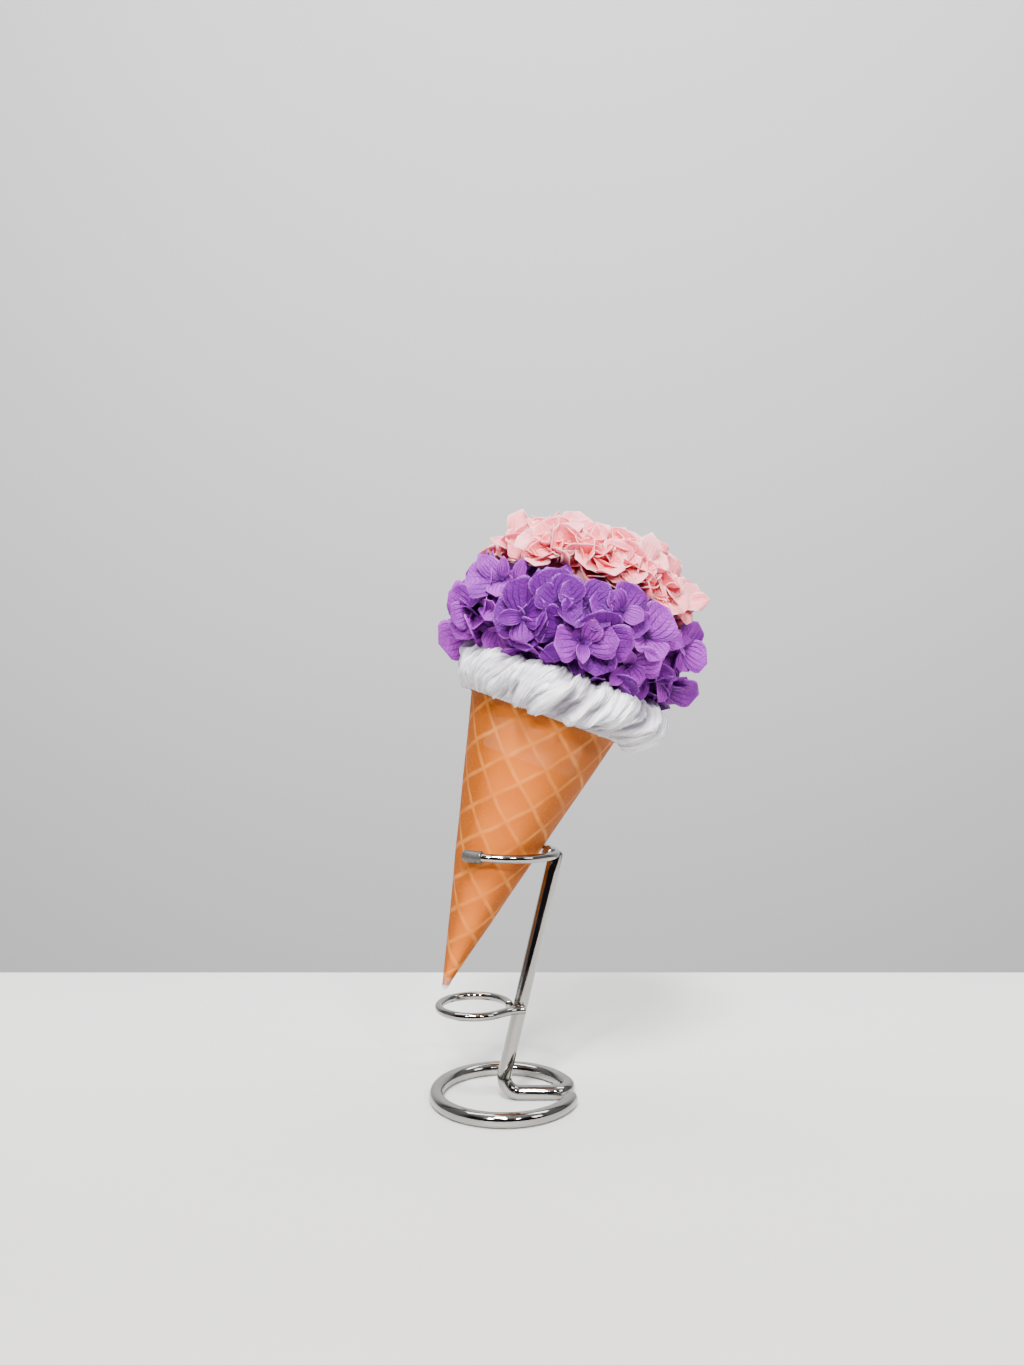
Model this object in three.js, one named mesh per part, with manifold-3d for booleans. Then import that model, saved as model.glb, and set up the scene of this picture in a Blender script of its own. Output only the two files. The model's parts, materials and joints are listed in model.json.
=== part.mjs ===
// A flower cone in a wire stand: a printed paper cone, a gathered white frill, a two-tier dome of
// preserved hydrangea florets, and the plated wire stand that holds the cone at a slant.
// Millimetres, +Z up. The front faces -Y, and the cone leans towards +X.
import * as THREE from "three";
import { mergeVertices } from "three/addons/utils/BufferGeometryUtils.js";
import Module from "manifold-3d";

const wasm = await Module();
wasm.setup();

const DEG = Math.PI / 180;
const GAP = 0.3; // left between pieces that touch

// The stand's rod and wire, measured from the middle of its base ring on the table
const ROD = 6.5; // diameter of the base ring, the bar and the stem
const WIRE = 3.75; // diameter of the tip ring and the clamp arms
const BASE_RADIUS = 30.8; // all ring radii are to the middle of the wire
const HAIRPIN_RADIUS = 8; // where the base ring turns in to the bar
const FOOT_RADIUS = 7; // where the bar turns up to the stem
const FOOT_X = -1.7; // where the lines of the bar and the stem would meet
const STEM_LEAN = 13 * DEG;
const RING_END = 13 * DEG; // the base ring's cut end stops this far in front of +X
const TIP_RING_RADIUS = 16;
const TIP_RING_Z = 42.6;
const TIP_RING_TAIL = 2.2; // how far its end runs past the middle of the stem, in front
const TAIL_PULL = 3.5; // how softly the tail bends into the circle

// The clamp: one wire bent to an open oval round the cone, welded on top of the stem
const CLAMP_Z = 112.3; // at the stem
const CLAMP_RISE = 2.2 * DEG; // the arms climb a little towards their free ends
const CLAMP_SIDE = 21.4; // half of the oval's size, front to back
const CLAMP_REACH = 24.8; // half of the oval's size, left to right
const CLAMP_END = 127 * DEG; // where each arm stops, from +X
const CAP = 5.5; // diameter of the sleeve on an arm's end
const CAP_LENGTH = 7.2;
const CAP_WALL = 1; // past the wire's end

// The cone, from the point where its sides would meet, along its own axis
const POINT = new THREE.Vector3(-28.5, -2.3, 47.3);
const CONE_LEAN = 20 * DEG;
const CONE_BACK = 2 * DEG; // how far the top leans away from the front
const CONE_HEIGHT = 136.3;
const MOUTH_RADIUS = 34.9;
const TIP_ROUND = 1.6;
const RIM_ROLL = 0.7; // the rolled paper edge stands out this far

// The blank clear label on the front of the cone
const LABEL_LOW = 114;
const LABEL_HIGH = 129;
const LABEL_ARC = 84 * DEG;
const LABEL_MIDDLE = -91 * DEG; // -90 is the front
const LABEL_THICK = 0.3;

// The frill: a gathered strip that bulges over the cone's mouth
const FRILL_BOTTOM = CONE_HEIGHT - 1.6;
const FRILL_TOP = 156;
const FRILL_BULGE = 47;
const FRILL_SIDEWAYS = 3.4; // it sags out further on the low side, +X
const FRILL_DROOP = 1.8; // its lower part hangs down there, and rides up on the other side
const FRILL_SHOULDER = FRILL_TOP - 8; // what lies below this height droops
const FRILL_FOLDS = 24;
const FOLD_DEPTH = 1.1;
const FOLD_RAGGED = 2.2; // how unevenly the folds stand out
const FOLD_UNLEVEL = 1.6; // and rise
const FOLD_LIFT = 0.5;
const NECK_RADIUS = 24;

// The dome of florets
const DOME_MIDDLE = 176; // height of its widest ring above the cone's point
const DOME_RADIUS = 57;
const DOME_TOP = 229;
const DOME_BELOW = 40; // half height of the dome's lower half
const FLORET_DEPTH = 7.5; // the floret's eye lies this far inside the outline
const CORE_DEPTH = 8.8; // the core's surface, which the stalks reach into
const TIER_INNER = 190; // the seam between the tiers, at the core
const TIER_OUTER = 204; // and well outside the outline
const SEAM_WAVES = 7;
const SEAM_WAVE = 3;
const FLORET = 27; // usual span of four sepals
const SEPAL_THICK = 0.8;
const STALK = 2.6; // the floret narrows behind its eye to a short stalk this long
const SEPAL_CUP = 0.14; // how far a sepal's sides stand up, of its length
const GOLDEN = Math.PI * (3 - Math.sqrt(5));

// Florets that face the front: across and along in mm, turn and pitch in degrees
const FRONT_FLORETS = [
  { across: -37.0, along: 183.4, turn: 20, pitch: 10, span: 27 },
  { across: -11.6, along: 179.7, turn: 55, pitch: 14, span: 25 },
  { across: -0.6, along: 183.7, turn: 38, pitch: 4, span: 27 },
  { across: 14.6, along: 187.0, turn: 70, pitch: 10, span: 25 },
  { across: 27.5, along: 180.5, turn: 12, pitch: 12, span: 28 },
  { across: 47.0, along: 184.0, turn: 60, pitch: 0, span: 28 },
  { across: -47.5, along: 171.0, turn: 40, pitch: 6, span: 27 },
  { across: -22.7, along: 171.1, turn: 3, pitch: 12, span: 31 },
  { across: 3.5, along: 168.9, turn: 80, pitch: 24, span: 28 },
  { across: 24.5, along: 167.0, turn: 25, pitch: 4, span: 28 },
  { across: 46.5, along: 165.5, turn: 70, pitch: -8, span: 27 },
  { across: -42.0, along: 159.5, turn: 15, pitch: -8, span: 27 },
  { across: -16.8, along: 158.0, turn: 45, pitch: -8, span: 27 },
  { across: 16.5, along: 157.5, turn: 30, pitch: -6, span: 28 },
];
const BACK_ROWS = [
  { along: 159.5, count: 5, pitch: -8 },
  { along: 172.5, count: 5, pitch: 4 },
  { along: 186.0, count: 5, pitch: 12 },
];
const PINK_COUNT = 21;
const PINK_LOW = 203; // the lowest row of pink eyes

// A repeatable draw from -0.5 to 0.5
function draw(index, kind) {
  const x = Math.sin(index * 12.9898 + kind * 78.233) * 43758.5453;
  return x - Math.floor(x) - 0.5;
}

// A closed geometry as a solid
function solidOf(geometry) {
  const bare = geometry.index ? geometry.toNonIndexed() : geometry.clone();
  bare.deleteAttribute("normal");
  bare.deleteAttribute("uv");
  const merged = mergeVertices(bare, 1e-3);
  return new wasm.Manifold(
    new wasm.Mesh({
      numProp: 3,
      vertProperties: merged.attributes.position.array,
      triVerts: new Uint32Array(merged.index.array),
    }),
  );
}

// A solid's largest body as a geometry, so that no loose scrap is left
function geometryOf(solid) {
  const bodies = solid.decompose().sort((a, b) => b.volume() - a.volume());
  const mesh = bodies[0].getMesh();
  const corners = new Float32Array(mesh.numVert * 3);
  for (let i = 0; i < mesh.numVert; i++) {
    corners.set(mesh.vertProperties.subarray(i * mesh.numProp, i * mesh.numProp + 3), i * 3);
  }
  return new THREE.BufferGeometry()
    .setAttribute("position", new THREE.BufferAttribute(corners, 3))
    .setIndex(new THREE.BufferAttribute(mesh.triVerts, 1));
}

// An arc from a point on it, turning about an axis through a centre
class Bend extends THREE.Curve {
  constructor(centre, from, axis, angle) {
    super();
    this.centre = centre;
    this.spoke = from.clone().sub(centre);
    this.axis = axis;
    this.angle = angle;
  }
  getPoint(t, target = new THREE.Vector3()) {
    return target.copy(this.spoke).applyAxisAngle(this.axis, this.angle * t).add(this.centre);
  }
}

// Legs joined end to end, each with its own number of steps
class BentWire extends THREE.Curve {
  constructor(legs) {
    super();
    this.legs = legs;
    this.steps = legs.reduce((sum, leg) => sum + leg.steps, 0);
  }
  getUtoTmapping(u) {
    return u;
  }
  getPoint(t, target = new THREE.Vector3()) {
    let step = t * this.steps;
    for (const leg of this.legs) {
      if (step <= leg.steps + 1e-9 || leg === this.legs[this.legs.length - 1]) {
        return target.copy(leg.curve.getPoint(Math.min(step / leg.steps, 1)));
      }
      step -= leg.steps;
    }
    return target;
  }
}

// A round wire along a path. One flat of its section faces down on a level path.
function wireGeometry(path, diameter, sides) {
  const corner = diameter / 2 / Math.cos(Math.PI / sides);
  const section = new THREE.Shape(
    Array.from({ length: sides }, (_, i) => {
      const angle = ((i + 0.5) * 2 * Math.PI) / sides;
      return new THREE.Vector2(corner * Math.cos(angle), corner * Math.sin(angle));
    }),
  );
  return new THREE.ExtrudeGeometry(section, { steps: path.steps, extrudePath: path });
}

const UP = new THREE.Vector3(0, 0, 1);
const stemWay = new THREE.Vector3(Math.sin(STEM_LEAN), 0, Math.cos(STEM_LEAN));
const stemX = (z) => FOOT_X + (z - ROD / 2) * Math.tan(STEM_LEAN);

// The base ring, the bar and the stem are one bent rod
function rodPath() {
  const z = ROD / 2;
  const hairpinX = Math.sqrt((BASE_RADIUS - HAIRPIN_RADIUS) ** 2 - HAIRPIN_RADIUS ** 2);
  const hairpin = new THREE.Vector3(hairpinX, HAIRPIN_RADIUS, z);
  const meet = Math.atan2(HAIRPIN_RADIUS, hairpinX); // where the hairpin joins the ring
  const ringStart = new THREE.Vector3(
    BASE_RADIUS * Math.cos(RING_END),
    -BASE_RADIUS * Math.sin(RING_END),
    z,
  );
  const ringTurn = 2 * Math.PI - RING_END - meet;
  const ring = new Bend(new THREE.Vector3(0, 0, z), ringStart, UP, -ringTurn);
  const turn = new Bend(hairpin, ring.getPoint(1), UP, -(Math.PI / 2 + meet));
  const footAngle = Math.PI / 2 + STEM_LEAN;
  const footRun = FOOT_RADIUS * Math.tan(footAngle / 2);
  const footStart = new THREE.Vector3(FOOT_X + footRun, 0, z);
  const footCentre = footStart.clone().add(new THREE.Vector3(0, 0, FOOT_RADIUS));
  const foot = new Bend(footCentre, footStart, new THREE.Vector3(0, 1, 0), footAngle);
  const stemFoot = foot.getPoint(1);
  const stemTop = stemFoot.clone().addScaledVector(stemWay, (CLAMP_Z - stemFoot.z) / stemWay.z);
  return new BentWire([
    { curve: ring, steps: 36 },
    { curve: turn, steps: 8 },
    { curve: new THREE.LineCurve3(turn.getPoint(1), footStart), steps: 1 },
    { curve: foot, steps: 7 },
    { curve: new THREE.LineCurve3(stemFoot, stemTop), steps: 1 },
  ]);
}

// The thin wire of the tip ring starts in front of the stem, joins the circle and goes all round
function tipRingPath() {
  const y = -(ROD + WIRE) / 2 - GAP;
  const stem = stemX(TIP_RING_Z);
  const sink = 0.4; // the circle's right side is let into the stem's left side
  const middleX = stem - (ROD + WIRE) / 2 / Math.cos(STEM_LEAN) + sink - TIP_RING_RADIUS;
  const middle = new THREE.Vector3(middleX, 0, TIP_RING_Z);
  const leave = 48 * DEG; // where the tail leaves the circle, in front of +X
  const reach = 7 * DEG; // where the wire ends beside the stem, behind +X
  const joinSpoke = new THREE.Vector3(Math.cos(leave), -Math.sin(leave), 0);
  const join = middle.clone().addScaledVector(joinSpoke, TIP_RING_RADIUS);
  const heading = new THREE.Vector3(Math.sin(leave), Math.cos(leave), 0);
  const tail = new THREE.Vector3(stem + TIP_RING_TAIL, y, TIP_RING_Z);
  const bend = new THREE.CubicBezierCurve3(
    tail,
    tail.clone().setX(stem - TAIL_PULL),
    join.clone().addScaledVector(heading, TAIL_PULL),
    join,
  );
  const circle = new Bend(middle, join, UP, -(2 * Math.PI - leave - reach));
  return new BentWire([
    { curve: bend, steps: 6 },
    { curve: circle, steps: 28 },
  ]);
}

function clampPath() {
  const stem = stemX(CLAMP_Z);
  class Oval extends THREE.Curve {
    getPoint(t, target = new THREE.Vector3()) {
      const angle = CLAMP_END * (2 * t - 1);
      const x = stem - CLAMP_REACH * (1 - Math.cos(angle));
      const z = CLAMP_Z + (stem - x) * Math.tan(CLAMP_RISE);
      return target.set(x, CLAMP_SIDE * Math.sin(angle), z);
    }
  }
  return new BentWire([{ curve: new Oval(), steps: 30 }]);
}

// The thick rod is notched where the thin wires are let into it
function standRod() {
  const rod = solidOf(wireGeometry(rodPath(), ROD, 12));
  const crown = solidOf(
    new THREE.SphereGeometry(ROD / 2, 12, 8).rotateX(Math.PI / 2).scale(1, 1, 0.5)
      .rotateY(STEM_LEAN).translate(stemX(CLAMP_Z), 0, CLAMP_Z),
  );
  const notches = [tipRingPath(), clampPath()].map(
    (path) => solidOf(wireGeometry(path, WIRE + 2 * GAP, 8)),
  );
  return geometryOf(wasm.Manifold.union([rod, crown]).subtract(wasm.Manifold.union(notches)));
}

// A stretch of the clamp's wire at one end, lengthened past the end by over
class EndStretch extends THREE.Curve {
  constructor(side, length, over) {
    super();
    this.wire = clampPath();
    this.side = side;
    this.length = length;
    this.over = over;
    this.steps = 3;
  }
  getUtoTmapping(u) {
    return u;
  }
  getPoint(t, target = new THREE.Vector3()) {
    const end = this.side < 0 ? 0 : 1;
    const rate = 1 / (2 * CLAMP_END * (CLAMP_REACH + CLAMP_SIDE) / 2); // share of the wire for 1 mm
    const run = (this.length + this.over) * t - this.over;
    if (run < 0) {
      const out = this.wire.getTangent(end).multiplyScalar(this.side);
      return target.copy(this.wire.getPoint(end)).addScaledVector(out, -run);
    }
    return target.copy(this.wire.getPoint(Math.abs(end - run * rate)));
  }
}

function clampCap(side) {
  const sleeve = new EndStretch(side, CAP_LENGTH, CAP_WALL + GAP);
  const bore = new EndStretch(side, CAP_LENGTH + 1, GAP);
  return geometryOf(
    solidOf(wireGeometry(sleeve, CAP, 12)).subtract(solidOf(wireGeometry(bore, WIRE + 2 * GAP, 8))),
  );
}

const slope = MOUTH_RADIUS / CONE_HEIGHT;
const HALF_ANGLE = Math.atan(slope);

function paperCone() {
  const ballZ = TIP_ROUND / Math.sin(HALF_ANGLE);
  const profile = [];
  for (let i = 0; i <= 4; i++) {
    const angle = -Math.PI / 2 + ((Math.PI / 2 - HALF_ANGLE) * i) / 4;
    profile.push([TIP_ROUND * Math.cos(angle), ballZ + TIP_ROUND * Math.sin(angle)]);
  }
  profile[0][0] = 0;
  profile.push([(CONE_HEIGHT - 1.4) * slope, CONE_HEIGHT - 1.4]);
  profile.push([MOUTH_RADIUS + RIM_ROLL, CONE_HEIGHT - 0.9]);
  profile.push([MOUTH_RADIUS + RIM_ROLL, CONE_HEIGHT - 0.3]);
  profile.push([MOUTH_RADIUS, CONE_HEIGHT]);
  profile.push([0, CONE_HEIGHT]);
  return new THREE.LatheGeometry(profile.map(([r, z]) => new THREE.Vector2(r, z)), 48)
    .rotateX(Math.PI / 2);
}

// A thin patch that follows the cone
function blankLabel() {
  const patch = new THREE.BoxGeometry(1, 1, 1, 10, 3, 1);
  const at = patch.attributes.position;
  for (let i = 0; i < at.count; i++) {
    const share = at.getX(i);
    const z = LABEL_LOW + (LABEL_HIGH - LABEL_LOW) * (at.getY(i) + 0.5);
    const width = (LABEL_LOW + LABEL_HIGH) / 2 / z; // keeps the patch's sides parallel
    const angle = LABEL_MIDDLE + share * LABEL_ARC * width;
    const r = z * slope + GAP + LABEL_THICK * (at.getZ(i) + 0.5);
    at.setXYZ(i, r * Math.cos(angle), r * Math.sin(angle), z);
  }
  return patch;
}

// The frill's outline as radius and height, anticlockwise from its foot at the core
function frillOutline() {
  const foot = MOUTH_RADIUS + RIM_ROLL + GAP;
  return [
    [NECK_RADIUS + GAP, CONE_HEIGHT + GAP],
    [MOUTH_RADIUS, CONE_HEIGHT + GAP],
    [foot, CONE_HEIGHT + GAP],
    [foot + 0.4, FRILL_BOTTOM],
    [foot + 5, FRILL_BOTTOM + 0.6],
    [FRILL_BULGE - 2, FRILL_BOTTOM + 4.5],
    [FRILL_BULGE, FRILL_BOTTOM + 10],
    [FRILL_BULGE - 1, FRILL_TOP - 5],
    [FRILL_BULGE - 6, FRILL_TOP],
    [NECK_RADIUS + GAP, FRILL_TOP - 2],
  ];
}

function frill() {
  const outline = frillOutline();
  const rows = outline.length;
  const columns = 2 * FRILL_FOLDS;
  const ring = new THREE.TorusGeometry(2, 1, rows, columns);
  const at = ring.attributes.position;
  const uv = ring.attributes.uv;
  for (let i = 0; i < at.count; i++) {
    const row = Math.round(uv.getY(i) * rows) % rows;
    const column = Math.round(uv.getX(i) * columns) % columns;
    const angle = (2 * Math.PI * column) / columns;
    let [r, z] = outline[row];
    if (r > MOUTH_RADIUS + 2) {
      const fold = column % 2 ? 1 : -1;
      const loose = (r - MOUTH_RADIUS) / (FRILL_BULGE - MOUTH_RADIUS);
      const droop = z < FRILL_SHOULDER ? FRILL_DROOP : 0;
      const out = FOLD_DEPTH * fold + FOLD_RAGGED * draw(column, 1);
      const up = FOLD_LIFT * fold + FOLD_UNLEVEL * draw(column, 2);
      r += loose * (out + FRILL_SIDEWAYS * Math.cos(angle));
      z += loose * (up - droop * Math.cos(angle));
    }
    at.setXYZ(i, r * Math.cos(angle), r * Math.sin(angle), z);
  }
  return ring;
}

// The dome's radius at a height above the cone's point
function domeRadius(along, shrink = 0) {
  const half = along > DOME_MIDDLE ? DOME_TOP - DOME_MIDDLE : DOME_BELOW;
  const k = (along - DOME_MIDDLE) / (half - shrink);
  return (DOME_RADIUS - shrink) * Math.sqrt(Math.max(0, 1 - k * k));
}

// One floret round its eye, facing +Z: four sepals that meet in valleys, cupped and turned up
function floret(index, span) {
  const sepals = [0, 1, 2, 3].map((k) => ({
    length: (span / 2) * (1 + 0.2 * draw(index, k + 10)),
    tilt: 0.36 + 0.5 * draw(index, k + 20),
    way: (k * Math.PI) / 2 + 0.25 * draw(index, k + 30),
  }));
  // share is how far out a point lies, and side how far to its left
  const point = ({ length, tilt, way }, share, side, lift) => {
    const x = length * share * Math.cos(tilt);
    const y = length * side;
    const z = length * (share * Math.sin(tilt) + lift);
    return [x * Math.cos(way) - y * Math.sin(way), x * Math.sin(way) + y * Math.cos(way), z];
  };
  const valleys = sepals.map((sepal, k) => {
    const before = sepals[(k + 3) % 4];
    const turn = k === 0 ? -2 * Math.PI : 0;
    const mean = {
      length: (sepal.length + before.length) / 2,
      tilt: (sepal.tilt + before.tilt) / 2,
      way: (sepal.way + before.way + turn) / 2,
    };
    return point(mean, 0.55, 0, 0.02);
  });
  const points = [[0, 0, 0]];
  const faces = [];
  const edge = [];
  sepals.forEach((sepal, k) => {
    const first = points.length;
    const nextValley = k === 3 ? 1 : first + 4;
    points.push(
      valleys[k],
      point(sepal, 0.84, -0.48, SEPAL_CUP),
      point(sepal, 0.94, 0.42, SEPAL_CUP),
      point(sepal, 0.55, 0, 0),
    );
    const ring = [0, first, first + 1, first + 2, nextValley];
    ring.forEach((corner, i) => faces.push([first + 3, corner, ring[(i + 1) % ring.length]]));
    edge.push(first, first + 1, first + 2);
  });
  const corners = [
    ...points.flatMap(([x, y, z]) => [x, y, z + SEPAL_THICK / 2]),
    ...points.flatMap(([x, y, z], i) => [x, y, z - SEPAL_THICK / 2 - (i === 0 ? STALK : 0)]),
  ];
  const under = points.length;
  const triangles = faces.flatMap(([a, b, c]) => [a, b, c, under + a, under + c, under + b]);
  edge.forEach((a, i) => {
    const b = edge[(i + 1) % edge.length];
    triangles.push(a, under + a, under + b, a, under + b, b);
  });
  return new THREE.BufferGeometry()
    .setAttribute("position", new THREE.Float32BufferAttribute(corners, 3))
    .setIndex(triangles);
}

// A floret's place: its eye, facing out from the dome and pitched towards the top
function placeOf({ angle, along, pitch, turn }) {
  const r = domeRadius(along, FLORET_DEPTH);
  const eye = new THREE.Vector3(r * Math.cos(angle), r * Math.sin(angle), along);
  const half = along > DOME_MIDDLE ? DOME_TOP - DOME_MIDDLE : DOME_BELOW;
  const out = new THREE.Vector3(
    Math.cos(angle) * r / DOME_RADIUS ** 2,
    Math.sin(angle) * r / DOME_RADIUS ** 2,
    (along - DOME_MIDDLE) / half ** 2,
  ).normalize();
  const side = new THREE.Vector3(-Math.sin(angle), Math.cos(angle), 0);
  out.applyAxisAngle(side, -pitch * DEG);
  const over = out.clone().cross(side).negate();
  const place = new THREE.Matrix4().makeBasis(side, over.negate(), out);
  place.multiply(new THREE.Matrix4().makeRotationZ(turn * DEG));
  return place.setPosition(eye);
}

function purplePlaces() {
  const front = FRONT_FLORETS.map((f) => {
    const r = domeRadius(f.along, FLORET_DEPTH);
    const angle = -Math.acos(Math.max(-0.98, Math.min(0.98, f.across / r)));
    return { ...f, angle };
  });
  const back = BACK_ROWS.flatMap(({ along, count, pitch }, row) =>
    Array.from({ length: count }, (_, i) => {
      const index = row * 10 + i;
      return {
        angle: (Math.PI * (i + 0.5 + 0.3 * draw(index, 3) + 0.25 * (row % 2))) / count,
        along: along + 4 * draw(index, 4),
        pitch: pitch + 24 * draw(index, 5),
        turn: 90 * draw(index, 6),
        span: FLORET * (1 + 0.2 * draw(index, 7)),
      };
    }),
  );
  return [...front, ...back];
}

function pinkPlaces() {
  const high = DOME_TOP - FLORET_DEPTH - 0.5;
  return Array.from({ length: PINK_COUNT }, (_, i) => {
    const share = (i + 0.5) / PINK_COUNT;
    return {
      angle: i * GOLDEN - Math.PI / 2,
      along: PINK_LOW + (high - PINK_LOW) * share,
      pitch: 30 * draw(i, 8),
      turn: 90 * draw(i, 9),
      span: FLORET * (0.98 + 0.24 * draw(i, 2)),
    };
  });
}

function lathe(profile, segments) {
  return solidOf(
    new THREE.LatheGeometry(profile.map(([r, z]) => new THREE.Vector2(r, z)), segments)
      .rotateX(Math.PI / 2),
  );
}

// Everything above the wavy seam between the tiers, raised by lift
function overSeam(lift) {
  const wide = DOME_RADIUS + 12;
  const seam = new THREE.LatheGeometry(
    [
      [0, TIER_INNER],
      [DOME_RADIUS * 0.6, TIER_INNER],
      [wide, TIER_OUTER],
      [wide, DOME_TOP + 20],
      [0, DOME_TOP + 20],
    ].map(([r, z]) => new THREE.Vector2(r, z)),
    6 * SEAM_WAVES,
  ).rotateX(Math.PI / 2);
  const at = seam.attributes.position;
  for (let i = 0; i < at.count; i++) {
    const [x, y, z] = [at.getX(i), at.getY(i), at.getZ(i)];
    const wave = Math.hypot(x, y) < 1 ? 0 : Math.sin(SEAM_WAVES * Math.atan2(y, x));
    at.setZ(i, z + lift + (z <= TIER_OUTER ? SEAM_WAVE * wave : 0));
  }
  return solidOf(seam);
}

function dome(low, high, neck) {
  const profile = [];
  const steps = 6;
  for (let i = 0; i <= steps; i++) {
    const along = low + ((high - low) * i) / steps;
    profile.push([domeRadius(along, CORE_DEPTH), along]);
  }
  const foot = neck ? [[0, neck], [NECK_RADIUS, neck], [NECK_RADIUS, low]] : [[0, low]];
  const head = profile[profile.length - 1][0] > 0 ? [[0, high]] : [];
  return lathe([...foot, ...profile, ...head], 28);
}

function purpleTier() {
  const core = dome(FRILL_TOP + 2 * GAP, TIER_OUTER, CONE_HEIGHT + GAP);
  const florets = purplePlaces().map((f, i) => solidOf(floret(i, f.span).applyMatrix4(placeOf(f))));
  const underFrill = lathe([
    [NECK_RADIUS + 0.01, CONE_HEIGHT - 4],
    [FRILL_BULGE + 5, CONE_HEIGHT - 4],
    [FRILL_BULGE + 6.5, FRILL_BOTTOM + 10],
    [FRILL_BULGE + 5, FRILL_TOP - 3],
    [FRILL_BULGE - 3, FRILL_TOP + 1.8],
    [NECK_RADIUS + 0.01, FRILL_TOP + GAP],
    [NECK_RADIUS + 0.01, CONE_HEIGHT - 4],
  ], 24);
  const whole = wasm.Manifold.union([core, ...florets]);
  return geometryOf(whole.subtract(overSeam(0)).subtract(underFrill));
}

function pinkTier() {
  const core = dome(TIER_INNER - 2, DOME_TOP - CORE_DEPTH, 0);
  const florets = pinkPlaces().map((f, i) => (
    solidOf(floret(i + 60, f.span).applyMatrix4(placeOf(f)))
  ));
  return geometryOf(wasm.Manifold.union([core, ...florets]).intersect(overSeam(GAP + 0.1)));
}

function piece(name, geometry, colour, roughness, metalness) {
  const material = new THREE.MeshStandardMaterial({ color: colour, roughness, metalness });
  const mesh = new THREE.Mesh(geometry, material);
  mesh.name = name;
  return mesh;
}

const PLATED = [0xc9c9c7, 0.08, 1];
const part = new THREE.Group();
const stand = new THREE.Group();
stand.add(piece("stand_rod", standRod(), ...PLATED));
stand.add(piece("tip_ring", wireGeometry(tipRingPath(), WIRE, 8), ...PLATED));
stand.add(piece("clamp_wire", wireGeometry(clampPath(), WIRE, 8), ...PLATED));
for (const [side, name] of [[-1, "front"], [1, "back"]]) {
  stand.add(piece(`clamp_cap_${name}`, clampCap(side), 0xa8a49b, 0.4, 0.3));
}
part.add(stand);

const bouquet = new THREE.Group();
bouquet.add(piece("paper_cone", paperCone(), 0xd89460, 0.6, 0));
bouquet.add(piece("blank_label", blankLabel(), 0xdf9d6a, 0.3, 0));
bouquet.add(piece("frill", frill(), 0xf1eff2, 0.5, 0));
bouquet.add(piece("purple_florets", purpleTier(), 0x7a4bb0, 0.6, 0));
bouquet.add(piece("pink_florets", pinkTier(), 0xf3a9ab, 0.6, 0));
bouquet.rotation.set(-CONE_BACK, CONE_LEAN, 0);
bouquet.position.copy(POINT);
part.add(bouquet);

// The origin is the middle of the whole part's footprint, on the table
const box = new THREE.Box3().setFromObject(part, true);
for (const group of [stand, bouquet]) {
  group.position.x -= (box.min.x + box.max.x) / 2;
  group.position.y -= (box.min.y + box.max.y) / 2;
}

export default part;
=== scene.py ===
"""The looks of a flower cone in a wire stand: a waffle-printed paper cone, a gathered tissue frill,
two tiers of preserved hydrangea florets and the plated wire stand, built on the CAD frame."""

import json
import random
from math import acos, atan, atan2, copysign, cos, floor, hypot, pi, radians, sin, sqrt, tan

import bmesh
import bpy
from mathutils import Matrix, Quaternion, Vector, noise

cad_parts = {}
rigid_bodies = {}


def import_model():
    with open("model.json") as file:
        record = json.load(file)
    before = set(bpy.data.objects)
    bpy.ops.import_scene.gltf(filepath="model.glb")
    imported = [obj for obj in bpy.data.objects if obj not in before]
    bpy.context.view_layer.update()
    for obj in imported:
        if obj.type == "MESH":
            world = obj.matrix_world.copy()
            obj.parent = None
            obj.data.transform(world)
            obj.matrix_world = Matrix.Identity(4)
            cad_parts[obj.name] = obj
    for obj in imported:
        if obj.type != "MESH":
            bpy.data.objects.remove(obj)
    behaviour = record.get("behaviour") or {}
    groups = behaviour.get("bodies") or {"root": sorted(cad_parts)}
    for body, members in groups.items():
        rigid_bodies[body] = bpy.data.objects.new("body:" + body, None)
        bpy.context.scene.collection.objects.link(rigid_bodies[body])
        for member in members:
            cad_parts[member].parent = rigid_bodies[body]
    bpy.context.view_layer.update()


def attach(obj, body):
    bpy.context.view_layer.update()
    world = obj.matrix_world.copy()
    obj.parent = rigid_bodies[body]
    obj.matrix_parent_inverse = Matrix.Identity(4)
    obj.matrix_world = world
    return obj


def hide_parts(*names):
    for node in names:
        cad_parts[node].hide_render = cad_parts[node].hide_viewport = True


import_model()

# Sizes in mm, most of them the CAD's
GAP = 0.3
ROD = 6.5
WIRE = 3.75
BASE_RADIUS = 30.8
HAIRPIN_RADIUS = 8
FOOT_RADIUS = 7
FOOT_X = -1.7
STEM_LEAN = radians(13)
RING_END = radians(13)
TIP_RING_RADIUS = 16
TIP_RING_Z = 42.6
TIP_RING_TAIL = 2.2
CLAMP_Z = 112.3
CLAMP_RISE = radians(2.2)
CLAMP_SIDE = 21.4
CLAMP_REACH = 24.8
CLAMP_END = radians(127)
CAP = 5.5
CAP_LENGTH = 7.2
WIRE_STEPS = 32

CONE_HEIGHT = 136.3
MOUTH_RADIUS = 34.9
SLOPE = MOUTH_RADIUS / CONE_HEIGHT
HALF_ANGLE = atan(SLOPE)
TIP_ROUND = 1.6
RIM_ROLL = 0.7
LABEL_LOW = 114
LABEL_HIGH = 129
LABEL_ARC = radians(84)
LABEL_MIDDLE = radians(-91)

FRILL_TOP = 156
FRILL_SIDEWAYS = 5.2
NECK_RADIUS = 24

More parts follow.
